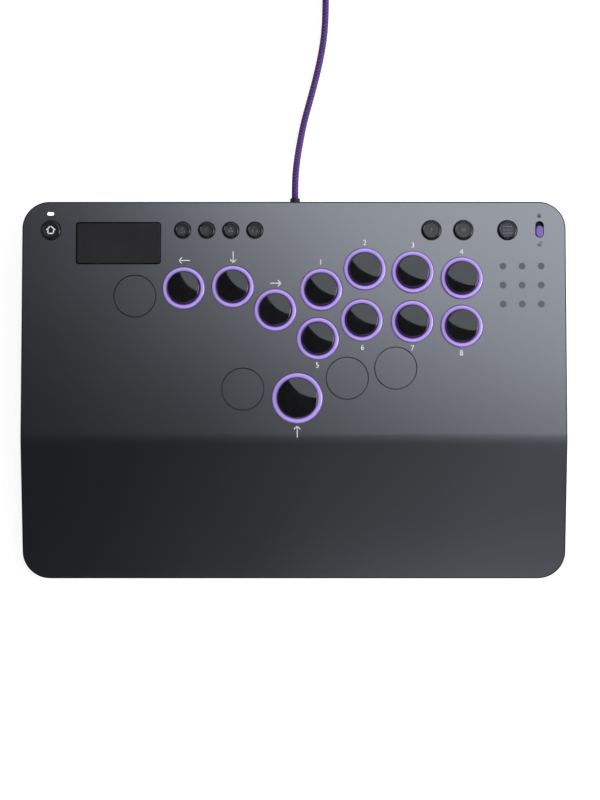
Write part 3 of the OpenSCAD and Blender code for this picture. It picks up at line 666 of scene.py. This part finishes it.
for x, y in post_places:
    low, top = stud_low(y), skin_height(y - STUD_R, PANEL_T / 2)
    studs.append(turned("stud", [
        (THREAD_R, low), (STUD_R, low), (STUD_R, top), (0, top),
        (0, low + THREAD_LEN), (THREAD_R, low + THREAD_LEN), (THREAD_R, low),
    ], (x, y), steps=32))
carve(panel, joined("studs", studs), "UNION")
panel_metal = metal("dark_anodised", (0.17, 0.18, 0.205), 0.28, 0.0006, 0.0000015)
smooth(panel, panel_metal, 30)
# Black on the chamfered edges, sides and hole rims: a painted shade and dark reflection where bare metal
# would show.
edge_shade_black = moulded("painted_shade_black_edge", (0.006, 0.006, 0.008), 0.45, 0.0004, 0.000006,
                     more={"Specular IOR Level": 0.1})
second_coat(panel, edge_shade_black, lambda f: -0.5 < f.normal.z < 0.95)
even_shading(panel)
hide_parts("top_panel")
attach(panel, "case")


# ---- Blanking plugs ----
# Four round plugs of the panel's own metal close the spare button holes, level with the panel.
# Each is turned in one piece, pushed up from below, and held by its lip against the sheet.

PLUG_R, PLUG_LIP_R, PLUG_IN_R, PLUG_PLATE_LOW, PLUG_SKIRT_LOW = 0.0153, 0.0166, 0.0134, 0.0244, 0.022
plug = turned("blanking_plug", [
    (0, PANEL_TOP), (PLUG_R - 0.0002, PANEL_TOP), (PLUG_R, PANEL_TOP - 0.0002), (PLUG_R, PANEL_UNDER),
    (PLUG_LIP_R, PANEL_UNDER), (PLUG_LIP_R, PLUG_PLATE_LOW), (PLUG_R, PLUG_PLATE_LOW),
    (PLUG_R, PLUG_SKIRT_LOW), (PLUG_IN_R, PLUG_SKIRT_LOW), (PLUG_IN_R, PLUG_PLATE_LOW), (0, PLUG_PLATE_LOW),
])
smooth(plug, panel_metal, 30)
# The plug's sides and top chamfer take the same black, a painted shade line round its seam.
second_coat(plug, edge_shade_black, lambda f: f.normal.z < 0.95)


def copy_to(piece, name, shift):
    """A copy of a piece with its own mesh, moved by a shift in X and Y."""
    nothing_selected()
    twin = bpy.data.objects.new(name, piece.data.copy())
    bpy.context.scene.collection.objects.link(twin)
    twin.data.transform(Matrix.Translation(Vector((*shift, 0))))
    return twin


def repeated(name, model, places):
    """One piece made of a copy of a model at each place; the model itself goes."""
    copies = joined(name, [copy_to(model, name, at) for at in places])
    bpy.data.objects.remove(model)
    return copies


plugs = repeated("blanking_plugs_turned", plug, spare_places)
even_shading(plugs)
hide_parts("blanking_plugs")
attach(plugs, "case")


# ---- Light rings ----
# Clear violet acrylic collars round the main buttons. Their feet stand over lamps on the board, and
# their rounded tops glow a soft lavender; a painted shade makes glow and colour deeper where they turn down
# to the cap and the panel.

LIT_LOW, RING_LIP_LOW, LIP_W = 0.0147, 0.0244, 0.0012
RING_STAND, RING_CREST, CREST_OUT, CREST_IN = 0.0016, 0.0013, 0.0008, 0.0011


def light_ring(name, out_r, in_r):
    top, crown_r = PANEL_TOP + RING_STAND, out_r - RING_CREST
    return turned(name, [
        (in_r, LIT_LOW), (out_r, LIT_LOW), (out_r, RING_LIP_LOW), (out_r + LIP_W, RING_LIP_LOW),
        (out_r + LIP_W, PANEL_UNDER), (out_r, PANEL_UNDER),
        *bend(crown_r, top - CREST_OUT, out_r - crown_r, 0, 84, 8, CREST_OUT), (crown_r, top),
        *bend(crown_r, top - CREST_IN, crown_r - in_r, 96, 180, 10, CREST_IN),
        (in_r, LIT_LOW),
    ])


acrylic = finish("lit_acrylic", (0.36, 0.22, 0.80), 0.30,
                 {"Emission Strength": 1.0, "Coat Weight": 0.3, "Coat Roughness": 0.15})
acrylic_up = node(acrylic, "SeparateXYZ", {0: node(acrylic, "NewGeometry").outputs["Normal"]}).outputs[2]
acrylic_even = sums(acrylic, "MULTIPLY_ADD", mottle(acrylic, 70.0, 2.0), 0.06, -0.03)
acrylic_slope_shade = sums(acrylic, "ADD", acrylic_up, acrylic_even)
# Base and glow colour both darken as the face turns from upright to the slopes, a painted shade; the mottle
# adds a small random tone.
for name, low, high in (("Base Color", (0.04, 0.015, 0.11), (0.150, 0.110, 0.285)),
                        ("Emission Color", (0.07, 0.028, 0.17), (0.285, 0.200, 0.53))):
    feed(acrylic, name, two_tones(acrylic, acrylic_slope_shade, low, high, 0.66, 0.99))
rings = repeated("small_rings_turned", light_ring("light_ring", RING_R, RING_R - 0.0032),
                 [place_of("cap_" + name) for name in main_names if name != "up"])
big_ring = light_ring("large_ring_turned", BIG_RING_R, BIG_RING_R - 0.0035)
laid(big_ring, (*place_of("cap_up"), 0))
for piece, node_name in ((rings, "small_light_rings"), (big_ring, "large_light_ring")):
    smooth(piece, acrylic, 40)
    even_shading(piece)
    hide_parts(node_name)
    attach(piece, "case")


# ---- Main buttons ----
# Twelve domed caps of polished black plastic, eleven of one size and one larger. Each is moulded
# with a skirt and a socket below, and pressed onto the violet stem of its own switch.

CAP_R, BIG_CAP_R, CAP_TOP, DOME_R, CAP_EDGE = 0.0116, 0.0147, 0.034, 0.110, 0.0006
CAP_WALL, SKIRT_LOW, DOME_UNDER = 0.0018, 0.0234, 0.0318
SOCKET_R, STEM_R, STEM_TOP = 0.005, 0.00305, 0.02705


def main_cap(name, r):
    dome_z = CAP_TOP - DOME_R
    edge_z = dome_z + math.sqrt((DOME_R - CAP_EDGE) ** 2 - (r - CAP_EDGE) ** 2)
    meet_r = (r - CAP_EDGE) * DOME_R / (DOME_R - CAP_EDGE)
    lean = math.degrees(math.atan2(edge_z - dome_z, r - CAP_EDGE))
    across = [meet_r * share for share in (0, 0.06, 0.15, 0.3, 0.45, 0.6, 0.75, 0.88)]
    return turned(name, [
        *[(x, dome_z + math.sqrt(DOME_R ** 2 - x ** 2)) for x in across],
        *bend(r - CAP_EDGE, edge_z, CAP_EDGE, lean, 0, 8), (r, SKIRT_LOW + 0.0003),
        (r - 0.0003, SKIRT_LOW), (r - CAP_WALL, SKIRT_LOW), (r - CAP_WALL, DOME_UNDER),
        (SOCKET_R, DOME_UNDER), (SOCKET_R, SKIRT_LOW), (STEM_R, SKIRT_LOW), (STEM_R, STEM_TOP),
        (0, STEM_TOP),
    ])


# A blue tint in the reflections of the caps and small buttons under white lamps: a painted cool highlight
# colour.
PAINTED_BLUE_SHINE = {"Specular Tint": (0.88, 0.94, 1.0, 1)}
cap_gloss = finish("polished_black", (0.006, 0.006, 0.007), 0.04, PAINTED_BLUE_SHINE)
cap_film = mottle(cap_gloss, 160.0, 4.0)
cap_smears = node(cap_gloss, "MapRange", {"Value": cap_film, "From Min": 0.35, "From Max": 0.7,
                                          "To Min": 0.03, "To Max": 0.07})
feed(cap_gloss, "Roughness", cap_smears.outputs["Result"])
feed(cap_gloss, "Base Color",
     two_tones(cap_gloss, cap_film, (0.005, 0.005, 0.006), (0.008, 0.008, 0.010), 0.3, 0.7))
cap, big_cap = main_cap("cap", CAP_R), main_cap("big_cap", BIG_CAP_R)
for model in (cap, big_cap):
    smooth(model, cap_gloss, 40)
for name in main_names:
    piece = copy_to(big_cap if name == "up" else cap, "domed_cap_" + name, place_of("cap_" + name))
    even_shading(piece)
    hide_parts("cap_" + name)
    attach(piece, "button_" + name)
for model in (cap, big_cap):
    bpy.data.objects.remove(model)


# ---- Return springs ----
# A steel spring under each main button's stem, wound from 0.4 mm wire and closed at both ends.
# It stands on the floor of its switch.

SPRING_R, WIRE_R, SPRING_TURNS = 0.0019, 0.0002, 4
spring_low, spring_high = [corner.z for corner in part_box("switch_springs")]
nothing_selected()
bpy.ops.mesh.primitive_circle_add(vertices=8, radius=WIRE_R, location=(SPRING_R, 0, spring_low + WIRE_R),
                                  rotation=(math.pi / 2, 0, 0))
spring = bpy.context.object
bpy.ops.object.transform_apply(location=True, rotation=True, scale=True)
modified(spring, "SCREW", iterations=SPRING_TURNS, steps=20, render_steps=20,
         screw_offset=(spring_high - spring_low - 2 * WIRE_R) / SPRING_TURNS)
for end, way in ((spring_low + WIRE_R, 1), (spring_high - WIRE_R, -1)):
    pick(spring, "EDGE", lambda e: e.is_boundary and abs(middle_of(e).z - end) < WIRE_R)
    bpy.ops.mesh.spin(steps=15, angle=way * 1.5 * math.pi, center=(0, 0, 0), axis=(0, 0, 1))
    bpy.ops.object.mode_set(mode="OBJECT")
sealed(spring)
faced_out(spring)
smooth(spring, metal("drawn_spring_wire", (0.60, 0.61, 0.63), 0.22, 0.0001, 0.000002), 50)
for name in main_names:
    x, y = place_of("cap_" + name)
    piece = copy_to(spring, "return_spring_" + name, (x, y))
    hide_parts("switch_springs")
    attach(piece, "case")
    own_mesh(piece)
bpy.data.objects.remove(spring)


# ---- Small buttons ----
# A row of moulded black buttons with a rounded rim and a flat satin top, four wide and four narrow.
# A lip under the panel holds each one, and a short post reaches down to its switch on the board.

SMALL_TOP, SMALL_RIM, SMALL_DISH = 0.0292, 0.0015, 0.0002
LIP_LOW, LIP_HIGH, POST_LOW = 0.02435, 0.02595, 0.0164


def small_button(name, r):
    flat_r = r - SMALL_RIM
    return turned(name, [
        (0, SMALL_TOP - SMALL_DISH), (flat_r - 0.0005, SMALL_TOP - SMALL_DISH),
        (flat_r - 0.0002, SMALL_TOP - 0.00012),
        *bend(flat_r, PANEL_TOP, SMALL_RIM, 90, 0, 8, SMALL_TOP - PANEL_TOP), (r, LIP_HIGH),
        (r + LIP_W, LIP_HIGH), (r + LIP_W, LIP_LOW), (0.0017, LIP_LOW), (0.0017, POST_LOW), (0, POST_LOW),
    ])


button_black = moulded("satin_black", (0.010, 0.010, 0.012), 0.28, 0.0005, 0.000004, 0.08, PAINTED_BLUE_SHINE)
rim_black = moulded("rim_black", (0.004, 0.004, 0.005), 0.2, 0.0005, 0.000003, 0.08,
                    {"Specular IOR Level": 0.2})
narrow, wide = small_button("narrow", NARROW_R), small_button("wide", WIDE_R)
for model in (narrow, wide):
    smooth(model, button_black, 32)
    second_coat(model, rim_black, lambda f: f.normal.z < 0.98)
for name in small_names:
    piece = copy_to(wide if name in wide_names else narrow, name + "_moulded", place_of(name))
    even_shading(piece)
    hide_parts(name)
    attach(piece, name)
for model in (narrow, wide):
    bpy.data.objects.remove(model)


# ---- Touchpad ----
# A matt black plastic plate with a lip under the panel, its face a hair below it. It is glued to its
# sensor board, which clicks down with a carrier onto a switch.

PAD_TOP = PANEL_TOP - 0.0003
pad = upright("touchpad_plate", PAD_AT, PAD_W, PAD_D, PAD_CORNER, LIP_LOW + 0.00005, PAD_TOP)
soften(pad, rim(2, PAD_TOP), 0.0007, 2)
carve(pad, upright("pad_lip", PAD_AT, PAD_W + 2 * LIP_W, PAD_D + 2 * LIP_W, PAD_CORNER + LIP_W,
                   LIP_LOW, LIP_HIGH), "UNION")
pad_black = moulded("matt_pad", (0.0125, 0.0125, 0.0145), 0.62, 0.00025, 0.000012, 0.1,
                    {"Specular IOR Level": 0.15})
smooth(pad, pad_black)
second_coat(pad, rim_black, lambda f: -0.5 < f.normal.z < 0.98)
even_shading(pad)
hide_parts("touch_plate")
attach(pad, "touchpad")


# ---- Lock slider and status light ----
# A violet thumb slider in a short slot, moulded with a black plate that runs under the panel and a
# post to its switch. Beside the home button a frosted window carries a small white light.

KNOB_AT, KNOB_W, KNOB_LEN, KNOB_TOP = place_of("lock_knob"), 0.0053, 0.0086, PANEL_TOP + 0.0005
knob = upright("lock_slider", KNOB_AT, KNOB_W, KNOB_LEN, KNOB_W / 2, 0.0249, KNOB_TOP)
soften(knob, rim(2, KNOB_TOP), 0.0006, 3)
carve(knob, upright("knob_plate", KNOB_AT, 0.009, 0.019, 0.0045, LIP_LOW, LIP_HIGH), "UNION")
knob_post = [(0, POST_LOW), (0.0013, POST_LOW), (0.0013, 0.025), (0, 0.025)]
carve(knob, turned("knob_post", knob_post, KNOB_AT, 32), "UNION")
knob_violet = moulded("violet_slider", (0.143, 0.075, 0.36), 0.42, 0.0004, 0.00001, 0.15)
smooth(knob, knob_violet)
# Below the panel the slider and its plate take the same black, which paints the open end of the slot dark
# as shade.
second_coat(knob, edge_shade_black, lambda f: middle_of(f).z < PANEL_UNDER)
even_shading(knob)
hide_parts("lock_knob")
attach(knob, "lock")

window = upright("status_window", LIGHT_AT, LIGHT_LEN, LIGHT_W, LIGHT_CORNER, LIT_LOW, PANEL_TOP)
soften(window, rim(2, PANEL_TOP), 0.0002, 2)
carve(window, upright("window_lip", LIGHT_AT, LIGHT_LEN + 0.002, LIGHT_W + 0.002, LIGHT_CORNER + 0.001,
                      0.025, PANEL_UNDER), "UNION")
smooth(window, moulded("frosted_window", (0.55, 0.57, 0.6), 0.5, 0.0003, 0.00001, 0.1))
lit = moulded("lit_window", (0.85, 0.87, 0.9), 0.5, 0.0003, 0.00001, 0.1, {"Emission Strength": 0.9})
feed(lit, "Emission Color",
     two_tones(lit, mottle(lit, 900.0, 1.0), (0.93, 0.95, 1.0), (1.0, 1.0, 1.0), 0.3, 0.7))
second_coat(window, lit, lambda f: f.normal.z > 0.99 and middle_of(f).z > PANEL_TOP - 0.00001)
even_shading(window)
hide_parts("status_light_guide")
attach(window, "case")


# ---- Printed marks ----
# Thin screen-printed ink on the panel and buttons: arrows and plain numbers by the main buttons, signs
# on the small ones, a padlock at each end of the slider's slot and a grid of dots in the corner.

INK_T = 0.00006


def dash(x_from, y_from, x_to, y_to, width):
    """One straight line with round ends, in millimetres from the mark's middle."""
    length = math.hypot(x_to - x_from, y_to - y_from) + width
    line = block("dash", (-length / 2000, -width / 2000, 0), (length / 2000, width / 2000, INK_T))
    soften(line, runs(2), width * 0.00049, 4)
    turn = math.degrees(math.atan2(y_to - y_from, x_to - x_from))
    return laid(line, ((x_from + x_to) / 2000, (y_from + y_to) / 2000, 0), (0, 0, turn))


def stroke(width, *points):
    """A bent stroke from point to point, as separate dashes."""
    return [dash(*a, *b, width) for a, b in zip(points, points[1:])]


def dot(x, y, r):
    return turned("dot", [(0, 0), (r / 1000, 0), (r / 1000, INK_T), (0, INK_T)], (x / 1000, y / 1000), 40)


def number(text, size):
    """A plain number in the built-in typeface, centred, with the same thickness as the strokes."""
    nothing_selected()
    bpy.ops.object.text_add()
    letters = bpy.context.object
    letters.data.body, letters.data.size = text, size / 1000
    letters.data.align_x, letters.data.align_y = "CENTER", "CENTER"
    letters.data.extrude, letters.data.offset = INK_T / 2, 0.00002
    letters.data.resolution_u = 6
    bpy.ops.object.convert(target="MESH")
    return faced_out(laid(letters, (0, 0, INK_T / 2)))


def arrow(turn, length):
    """An arrow that points to +X before it is turned."""
    tip = length / 2
    shaft, head = [(-tip, 0), (tip - 0.4, 0)], [(tip - 2.2, 2.1), (tip, 0), (tip - 2.2, -2.1)]
    return laid(joined("arrow", stroke(0.6, *shaft) + stroke(0.6, *head)), (0, 0, 0), (0, 0, turn))


def printed(name, marks, coat, height=PANEL_TOP, body="case"):
    """Joins marks into one piece at a height, inked and carried by a body."""
    piece = laid(joined(name, marks), (0, 0, height))
    smooth(piece, coat, 20)
    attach(piece, body)


def ink(name, colour):
    """Screen-printed ink, slightly uneven."""
    made = finish(name, colour, 0.6)
    specks = mottle(made, 2500.0, 2.0)
    feed(made, "Base Color", two_tones(made, specks, [c * 0.9 for c in colour], colour, 0.35, 0.6))
    bumped(made, specks, 0.3, 0.00001)
    return made


white_ink = ink("white_ink", (0.66, 0.67, 0.70))
grey_ink = ink("grey_ink", (0.060, 0.068, 0.082))
dark_ink = ink("dark_ink", (0.03, 0.032, 0.038))
faint_ink = ink("faint_ink", (0.10, 0.105, 0.125))

# Each main button's label stands this far from the button's middle, in millimetres
label_places = {"left": (0.3, 20.4), "down": (0.2, 21.8), "right": (0.3, 19.8), "up": (-0.1, -24.5),
                "1": (-0.4, 20.2), "2": (0, 19.5), "3": (0.2, 19.8), "4": (0, 19.3), "5": (-0.4, -19.6),
                "6": (0.5, -20.2), "7": (0.1, -19.6), "8": (-0.4, -19.9)}
arrows = {"left": (180, 8.0), "down": (-90, 8.0), "right": (0, 8.0), "up": (90, 8.2)}
labels = []
for name, (x, y) in label_places.items():
    at = place_of("cap_" + name)
    label = arrow(*arrows[name]) if name in arrows else number(name, 5.6)
    labels.append(laid(label, (at[0] + x / 1000, at[1] + y / 1000, 0)))
printed("panel_labels", labels, white_ink)

dots = [dot(167.5 + 14 * i, 77 + 14 * j, 2.5) for i in (-1, 0, 1) for j in (-1, 0, 1)]
printed("corner_dots", dots, grey_ink)

for name, shift, lift, y, coat in (("closed_padlock", 0, 0, 0.12845, dark_ink),
                                   ("open_padlock", 1.2, 0.3, 0.1072, grey_ink)):
    body = upright("lock_body", (0, -0.0007), 0.0026, 0.0019, 0.0003, 0, INK_T, 3)
    padlock = joined("padlock", [body, *stroke(0.42, *bend(shift, 0.4 + lift, 0.85, 0, 180, 8))])
    printed(name, [laid(padlock, (0.1804, y, 0))], coat)

signs = {
    "home_button": [*stroke(0.85, (-3, 0.2), (0, 2.9), (3, 0.2)),
                    *stroke(0.85, (-2, -0.2), (-2, -2.6), (2, -2.6), (2, -0.2))],
    "function_button_1": [*stroke(0.4, (0, -0.9), (0, 2.0)), *stroke(0.4, (-1, 1.1), (0, 2.1), (1, 1.1)),
                          *stroke(0.4, (-1.8, -0.2), (-1.8, -1.9), (1.8, -1.9), (1.8, -0.2))],
    "function_button_2": [*stroke(0.4, *bend(0, 0, 1.7, 0, 360, 16)), dot(0, 0, 0.55)],
    "function_button_3": [dot(-1.1, -0.9, 0.75), dot(1.1, -0.9, 0.75), dot(0, 1.1, 0.75)],
    "function_button_4": [*stroke(0.4, *bend(0, -0.2, 1.8, 0, 180, 10)),
                          *[dash(x, -0.2, x, -1.4, 0.8) for x in (-1.8, 1.8)]],
    "stick_button_left": [number("9", 3.6)],
    "stick_button_right": [number("10", 3.6)],
    "menu_button": [dash(-3.1, y, 3.1, y, 0.55) for y in (-2.4, 0, 2.4)],
}
for name, strokes in signs.items():
    at = place_of(name)
    sign = laid(joined("sign", strokes), (*at, 0))
    printed(name + "_sign", [sign], white_ink if name == "home_button" else faint_ink,
            SMALL_TOP - SMALL_DISH, name)


# ---- Bottom tray ----
# The moulded black tray that the panel closes. Its floor carries screw posts, bosses for the board
# and ribs; the case screws come up from below, and its back wall is open at the two sockets.

TRAY_LOW, TRAY_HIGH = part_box("bottom_tray")
TRAY_WALL, TRAY_FLOOR, TRAY_CORNER = 0.0025, 0.0045, 0.0194
BOARD_UNDER, POST_R, BOSS_R, RIB_T = 0.0118, 0.004, 0.003, 0.0016
HEAD_R, HEAD_DEEP, SHANK_R, BOARD_SCREW_R, BORE_TOP = 0.0031, 0.0044, 0.0017, 0.0011, 0.03
boss_places = [(-0.150, -0.022), (0.072, -0.022), (0.150, -0.022), (-0.082, 0.02005), (-0.060, 0.04405),
               (-0.150, 0.05475), (0.152, 0.04005), (0.152, 0.09005), (0, 0.10405)]
PORT_X, PORT_Z, PORT_W, PORT_H = 0.0007, 0.015, 0.013, 0.0084
JACK_X, JACK_Z, JACK_R = 0.0247, 0.0163, 0.0030
FOOT_L, FOOT_W, FOOT_DEEP, FOOT_GAP = 0.046, 0.012, 0.0026, 0.0001


def lofted(name, profile, x_from, x_to):
    """A solid with the same outline, (y, z) pairs, from one x to another."""
    ahead = [(0, b[0] - a[0], b[1] - a[1]) for a, b in zip(profile, profile[1:])]
    piece = drawn(name, (x_from, *profile[0]), ahead)
    bpy.ops.mesh.edge_face_add()
    bpy.ops.mesh.extrude_region_move(TRANSFORM_OT_translate={"value": (x_to - x_from, 0, 0)})
    return faced_out(piece)


def skin_profile(down, low):
    """The case's side outline from a height up to a distance below the panel's surface."""
    arc = [PALM_BEND * i / BEND_STEPS for i in range(BEND_STEPS + 1)]
    line = [(0.15, PANEL_TOP - down)]
    line += [(BEND_FROM - (BEND_R - down) * math.sin(a), PANEL_TOP - BEND_R + (BEND_R - down) * math.cos(a))
             for a in arc]
    return line + [(-0.15, skin_height(-0.15, down)), (-0.15, low), (0.15, low)]


tray_w, tray_d = TRAY_HIGH.x - TRAY_LOW.x, TRAY_HIGH.y - TRAY_LOW.y
tray = upright("tray", (0, 0), tray_w, tray_d, TRAY_CORNER, TRAY_LOW.z, 0.030, 24)
soften(tray, rim(2, TRAY_LOW.z), 0.0012, 4)
carve(tray, lofted("under_panel", skin_profile(PANEL_T, 0), -0.21, 0.21), "INTERSECT")
hollow = upright("hollow", (0, 0), tray_w - 2 * TRAY_WALL, tray_d - 2 * TRAY_WALL,
                 TRAY_CORNER - TRAY_WALL, TRAY_FLOOR, 0.031, 24)
carve(tray, hollow)
pegs = [(POST_R, stud_low(y), (x, y)) for x, y in post_places]
pegs += [(BOSS_R, BOARD_UNDER, at) for at in boss_places]
for r, top, at in pegs:
    outline = [(0, 0.003), (r, 0.003), (r, top - 0.0003), (r - 0.0003, top), (0, top)]
    carve(tray, turned("peg", outline, at, 40), "UNION")
ribs = []
for x in (-0.150, -0.060, 0.060, 0.150):
    rib = lofted("rib", skin_profile(0.0032, 0.003), x - RIB_T / 2, x + RIB_T / 2)
    carve(rib, block("rib_room", (x - 0.01, -0.1325, 0), (x + 0.01, -0.044, 0.04)), "INTERSECT")
    ribs.append(rib)
carve(tray, joined("ribs", ribs), "UNION")
bores = [turned("screw_bore", [(0, 0), (HEAD_R, 0), (HEAD_R, HEAD_DEEP), (SHANK_R, HEAD_DEEP),
                               (SHANK_R, BORE_TOP), (0, BORE_TOP)], at, 40) for at in post_places]
bores += [turned("boss_bore", [(0, TRAY_FLOOR), (BOARD_SCREW_R, TRAY_FLOOR), (BOARD_SCREW_R, BORE_TOP),
                               (0, BORE_TOP)], at, 32) for at in boss_places]
foot_places = [(x, y) for x in (-0.150, 0.150) for y in (-0.11475, 0.11475)] + [(0, -0.11475), (0, 0.11475)]
bores += [upright("foot_pocket", at, FOOT_L + 2 * FOOT_GAP, FOOT_W + 2 * FOOT_GAP,
                  FOOT_W / 2 + FOOT_GAP, 0, FOOT_DEEP) for at in foot_places]
carve(tray, joined("bores", bores))
port = block("port_opening", (PORT_X - PORT_W / 2, TRAY_HIGH.y - 0.02, PORT_Z - PORT_H / 2),
             (PORT_X + PORT_W / 2, TRAY_HIGH.y + 0.001, PORT_Z + PORT_H / 2))
soften(port, runs(1), PORT_H / 2 - 0.00001, 8)
carve(tray, port)
jack_hole = turned("jack_opening", [(0, 0), (JACK_R, 0), (JACK_R, 0.021), (0, 0.021)], steps=48)
carve(tray, laid(jack_hole, (JACK_X, TRAY_HIGH.y - 0.020, JACK_Z), (-90, 0, 0)))
sealed(tray)
smooth(tray, moulded("textured_tray", (0.014, 0.014, 0.0155), 0.5, 0.0006, 0.00003), 32)
even_shading(tray)
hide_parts("bottom_tray")
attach(tray, "case")


# ---- Rubber feet ----
# Six soft black pads, moulded in rubber and grooved along their length to grip the table. Each is
# glued into a shallow pocket in the tray's floor.

foot = upright("foot", (0, 0), FOOT_L, FOOT_W, FOOT_W / 2, 0, FOOT_DEEP, 10)
soften(foot, rim(2, 0), 0.0005, 3)
grooves = [block("foot_groove", (-0.018, y - 0.0004, -0.001), (0.018, y + 0.0004, 0.0005))
           for y in (-0.003, -0.001, 0.001, 0.003)]
carve(foot, joined("foot_grooves", grooves))
feet = repeated("grooved_feet", foot, foot_places)
smooth(feet, moulded("foot_rubber", (0.02, 0.02, 0.021), 0.8, 0.0008, 0.00004, 0.1))
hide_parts("rubber_feet")
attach(feet, "case")


# ---- Screws and inner parts ----
# Black case screws below; inside, a green circuit board with its chips, lamps and clicking
# switches. All keep the shape that they were drawn with and get their own finish here.

def dress(coat, *node_names):
    """Gives carried-over parts their finish."""
    for node_name in node_names:
        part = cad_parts[node_name]
        part.data.materials.clear()
        part.data.materials.append(coat)


dress(metal("blued_screw_steel", (0.055, 0.055, 0.06), 0.35, 0.0003, 0.000004), "case_screws")
dress(metal("zinc_screw_steel", (0.52, 0.53, 0.54), 0.30, 0.0003, 0.000004), "board_screws")
tinned = metal("tinned_shell", (0.66, 0.66, 0.67), 0.30, 0.0003, 0.000003, (1, 8, 1))
dress(tinned, "usb_c_receptacle")

laminate = finish("green_laminate", (0.006, 0.055, 0.022), 0.32)
traces = node(laminate, "TexBrick", {
    "Vector": node(laminate, "TexCoord").outputs["Object"],
    "Color1": (0, 0, 0, 1), "Color2": (0.25, 0.25, 0.25, 1),
    "Mortar": (1, 1, 1, 1), "Scale": 260.0, "Mortar Size": 0.035, "Mortar Smooth": 0.3,
    "Brick Width": 2.6, "Row Height": 0.5,
}, offset=0.37, squash=0.6)
laminate_trace = node(laminate, "SeparateXYZ", {0: traces.outputs["Color"]}).outputs[0]
feed(laminate, "Base Color",
     two_tones(laminate, laminate_trace, (0.004, 0.040, 0.016), (0.012, 0.11, 0.045), 0.2, 0.9))
bumped(laminate, laminate_trace, 0.4, 0.00005)
dress(laminate, "main_board", "touch_sensor_board")

dress(moulded("chip_epoxy", (0.018, 0.018, 0.019), 0.55, 0.0002, 0.00001),
      "board_chips", "tact_switches", "lock_switch_body")
dress(moulded("switch_housing", (0.022, 0.022, 0.025), 0.40, 0.0003, 0.00001),
      "switch_housings", "touch_carrier", "headset_jack")
dress(moulded("stem_violet", (0.20, 0.07, 0.72), 0.38, 0.0003, 0.00001, 0.15),
      *["stem_" + name for name in main_names])
dress(moulded("lamp_resin", (0.80, 0.76, 0.92), 0.3, 0.0004, 0.00001, 0.15,
              {"Emission Color": (0.6, 0.4, 1.0, 1), "Emission Strength": 0.6}), "ring_leds")


# ---- Headset socket ring ----
# A thin ring of plated steel round the headset socket's mouth. It is turned, pressed onto the socket,
# and stands 0.3 mm out of the back wall of the tray.

lip = turned("socket_ring", [(0.0018, 0), (0.0018, -0.0006), (0.0026, -0.0006), (0.0028, -0.0003),
                             (0.0028, 0), (0.0018, 0)], steps=48)
laid(lip, (JACK_X, TRAY_HIGH.y - 0.0003, JACK_Z), (90, 0, 0))
smooth(lip, tinned, 30)
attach(lip, "case")
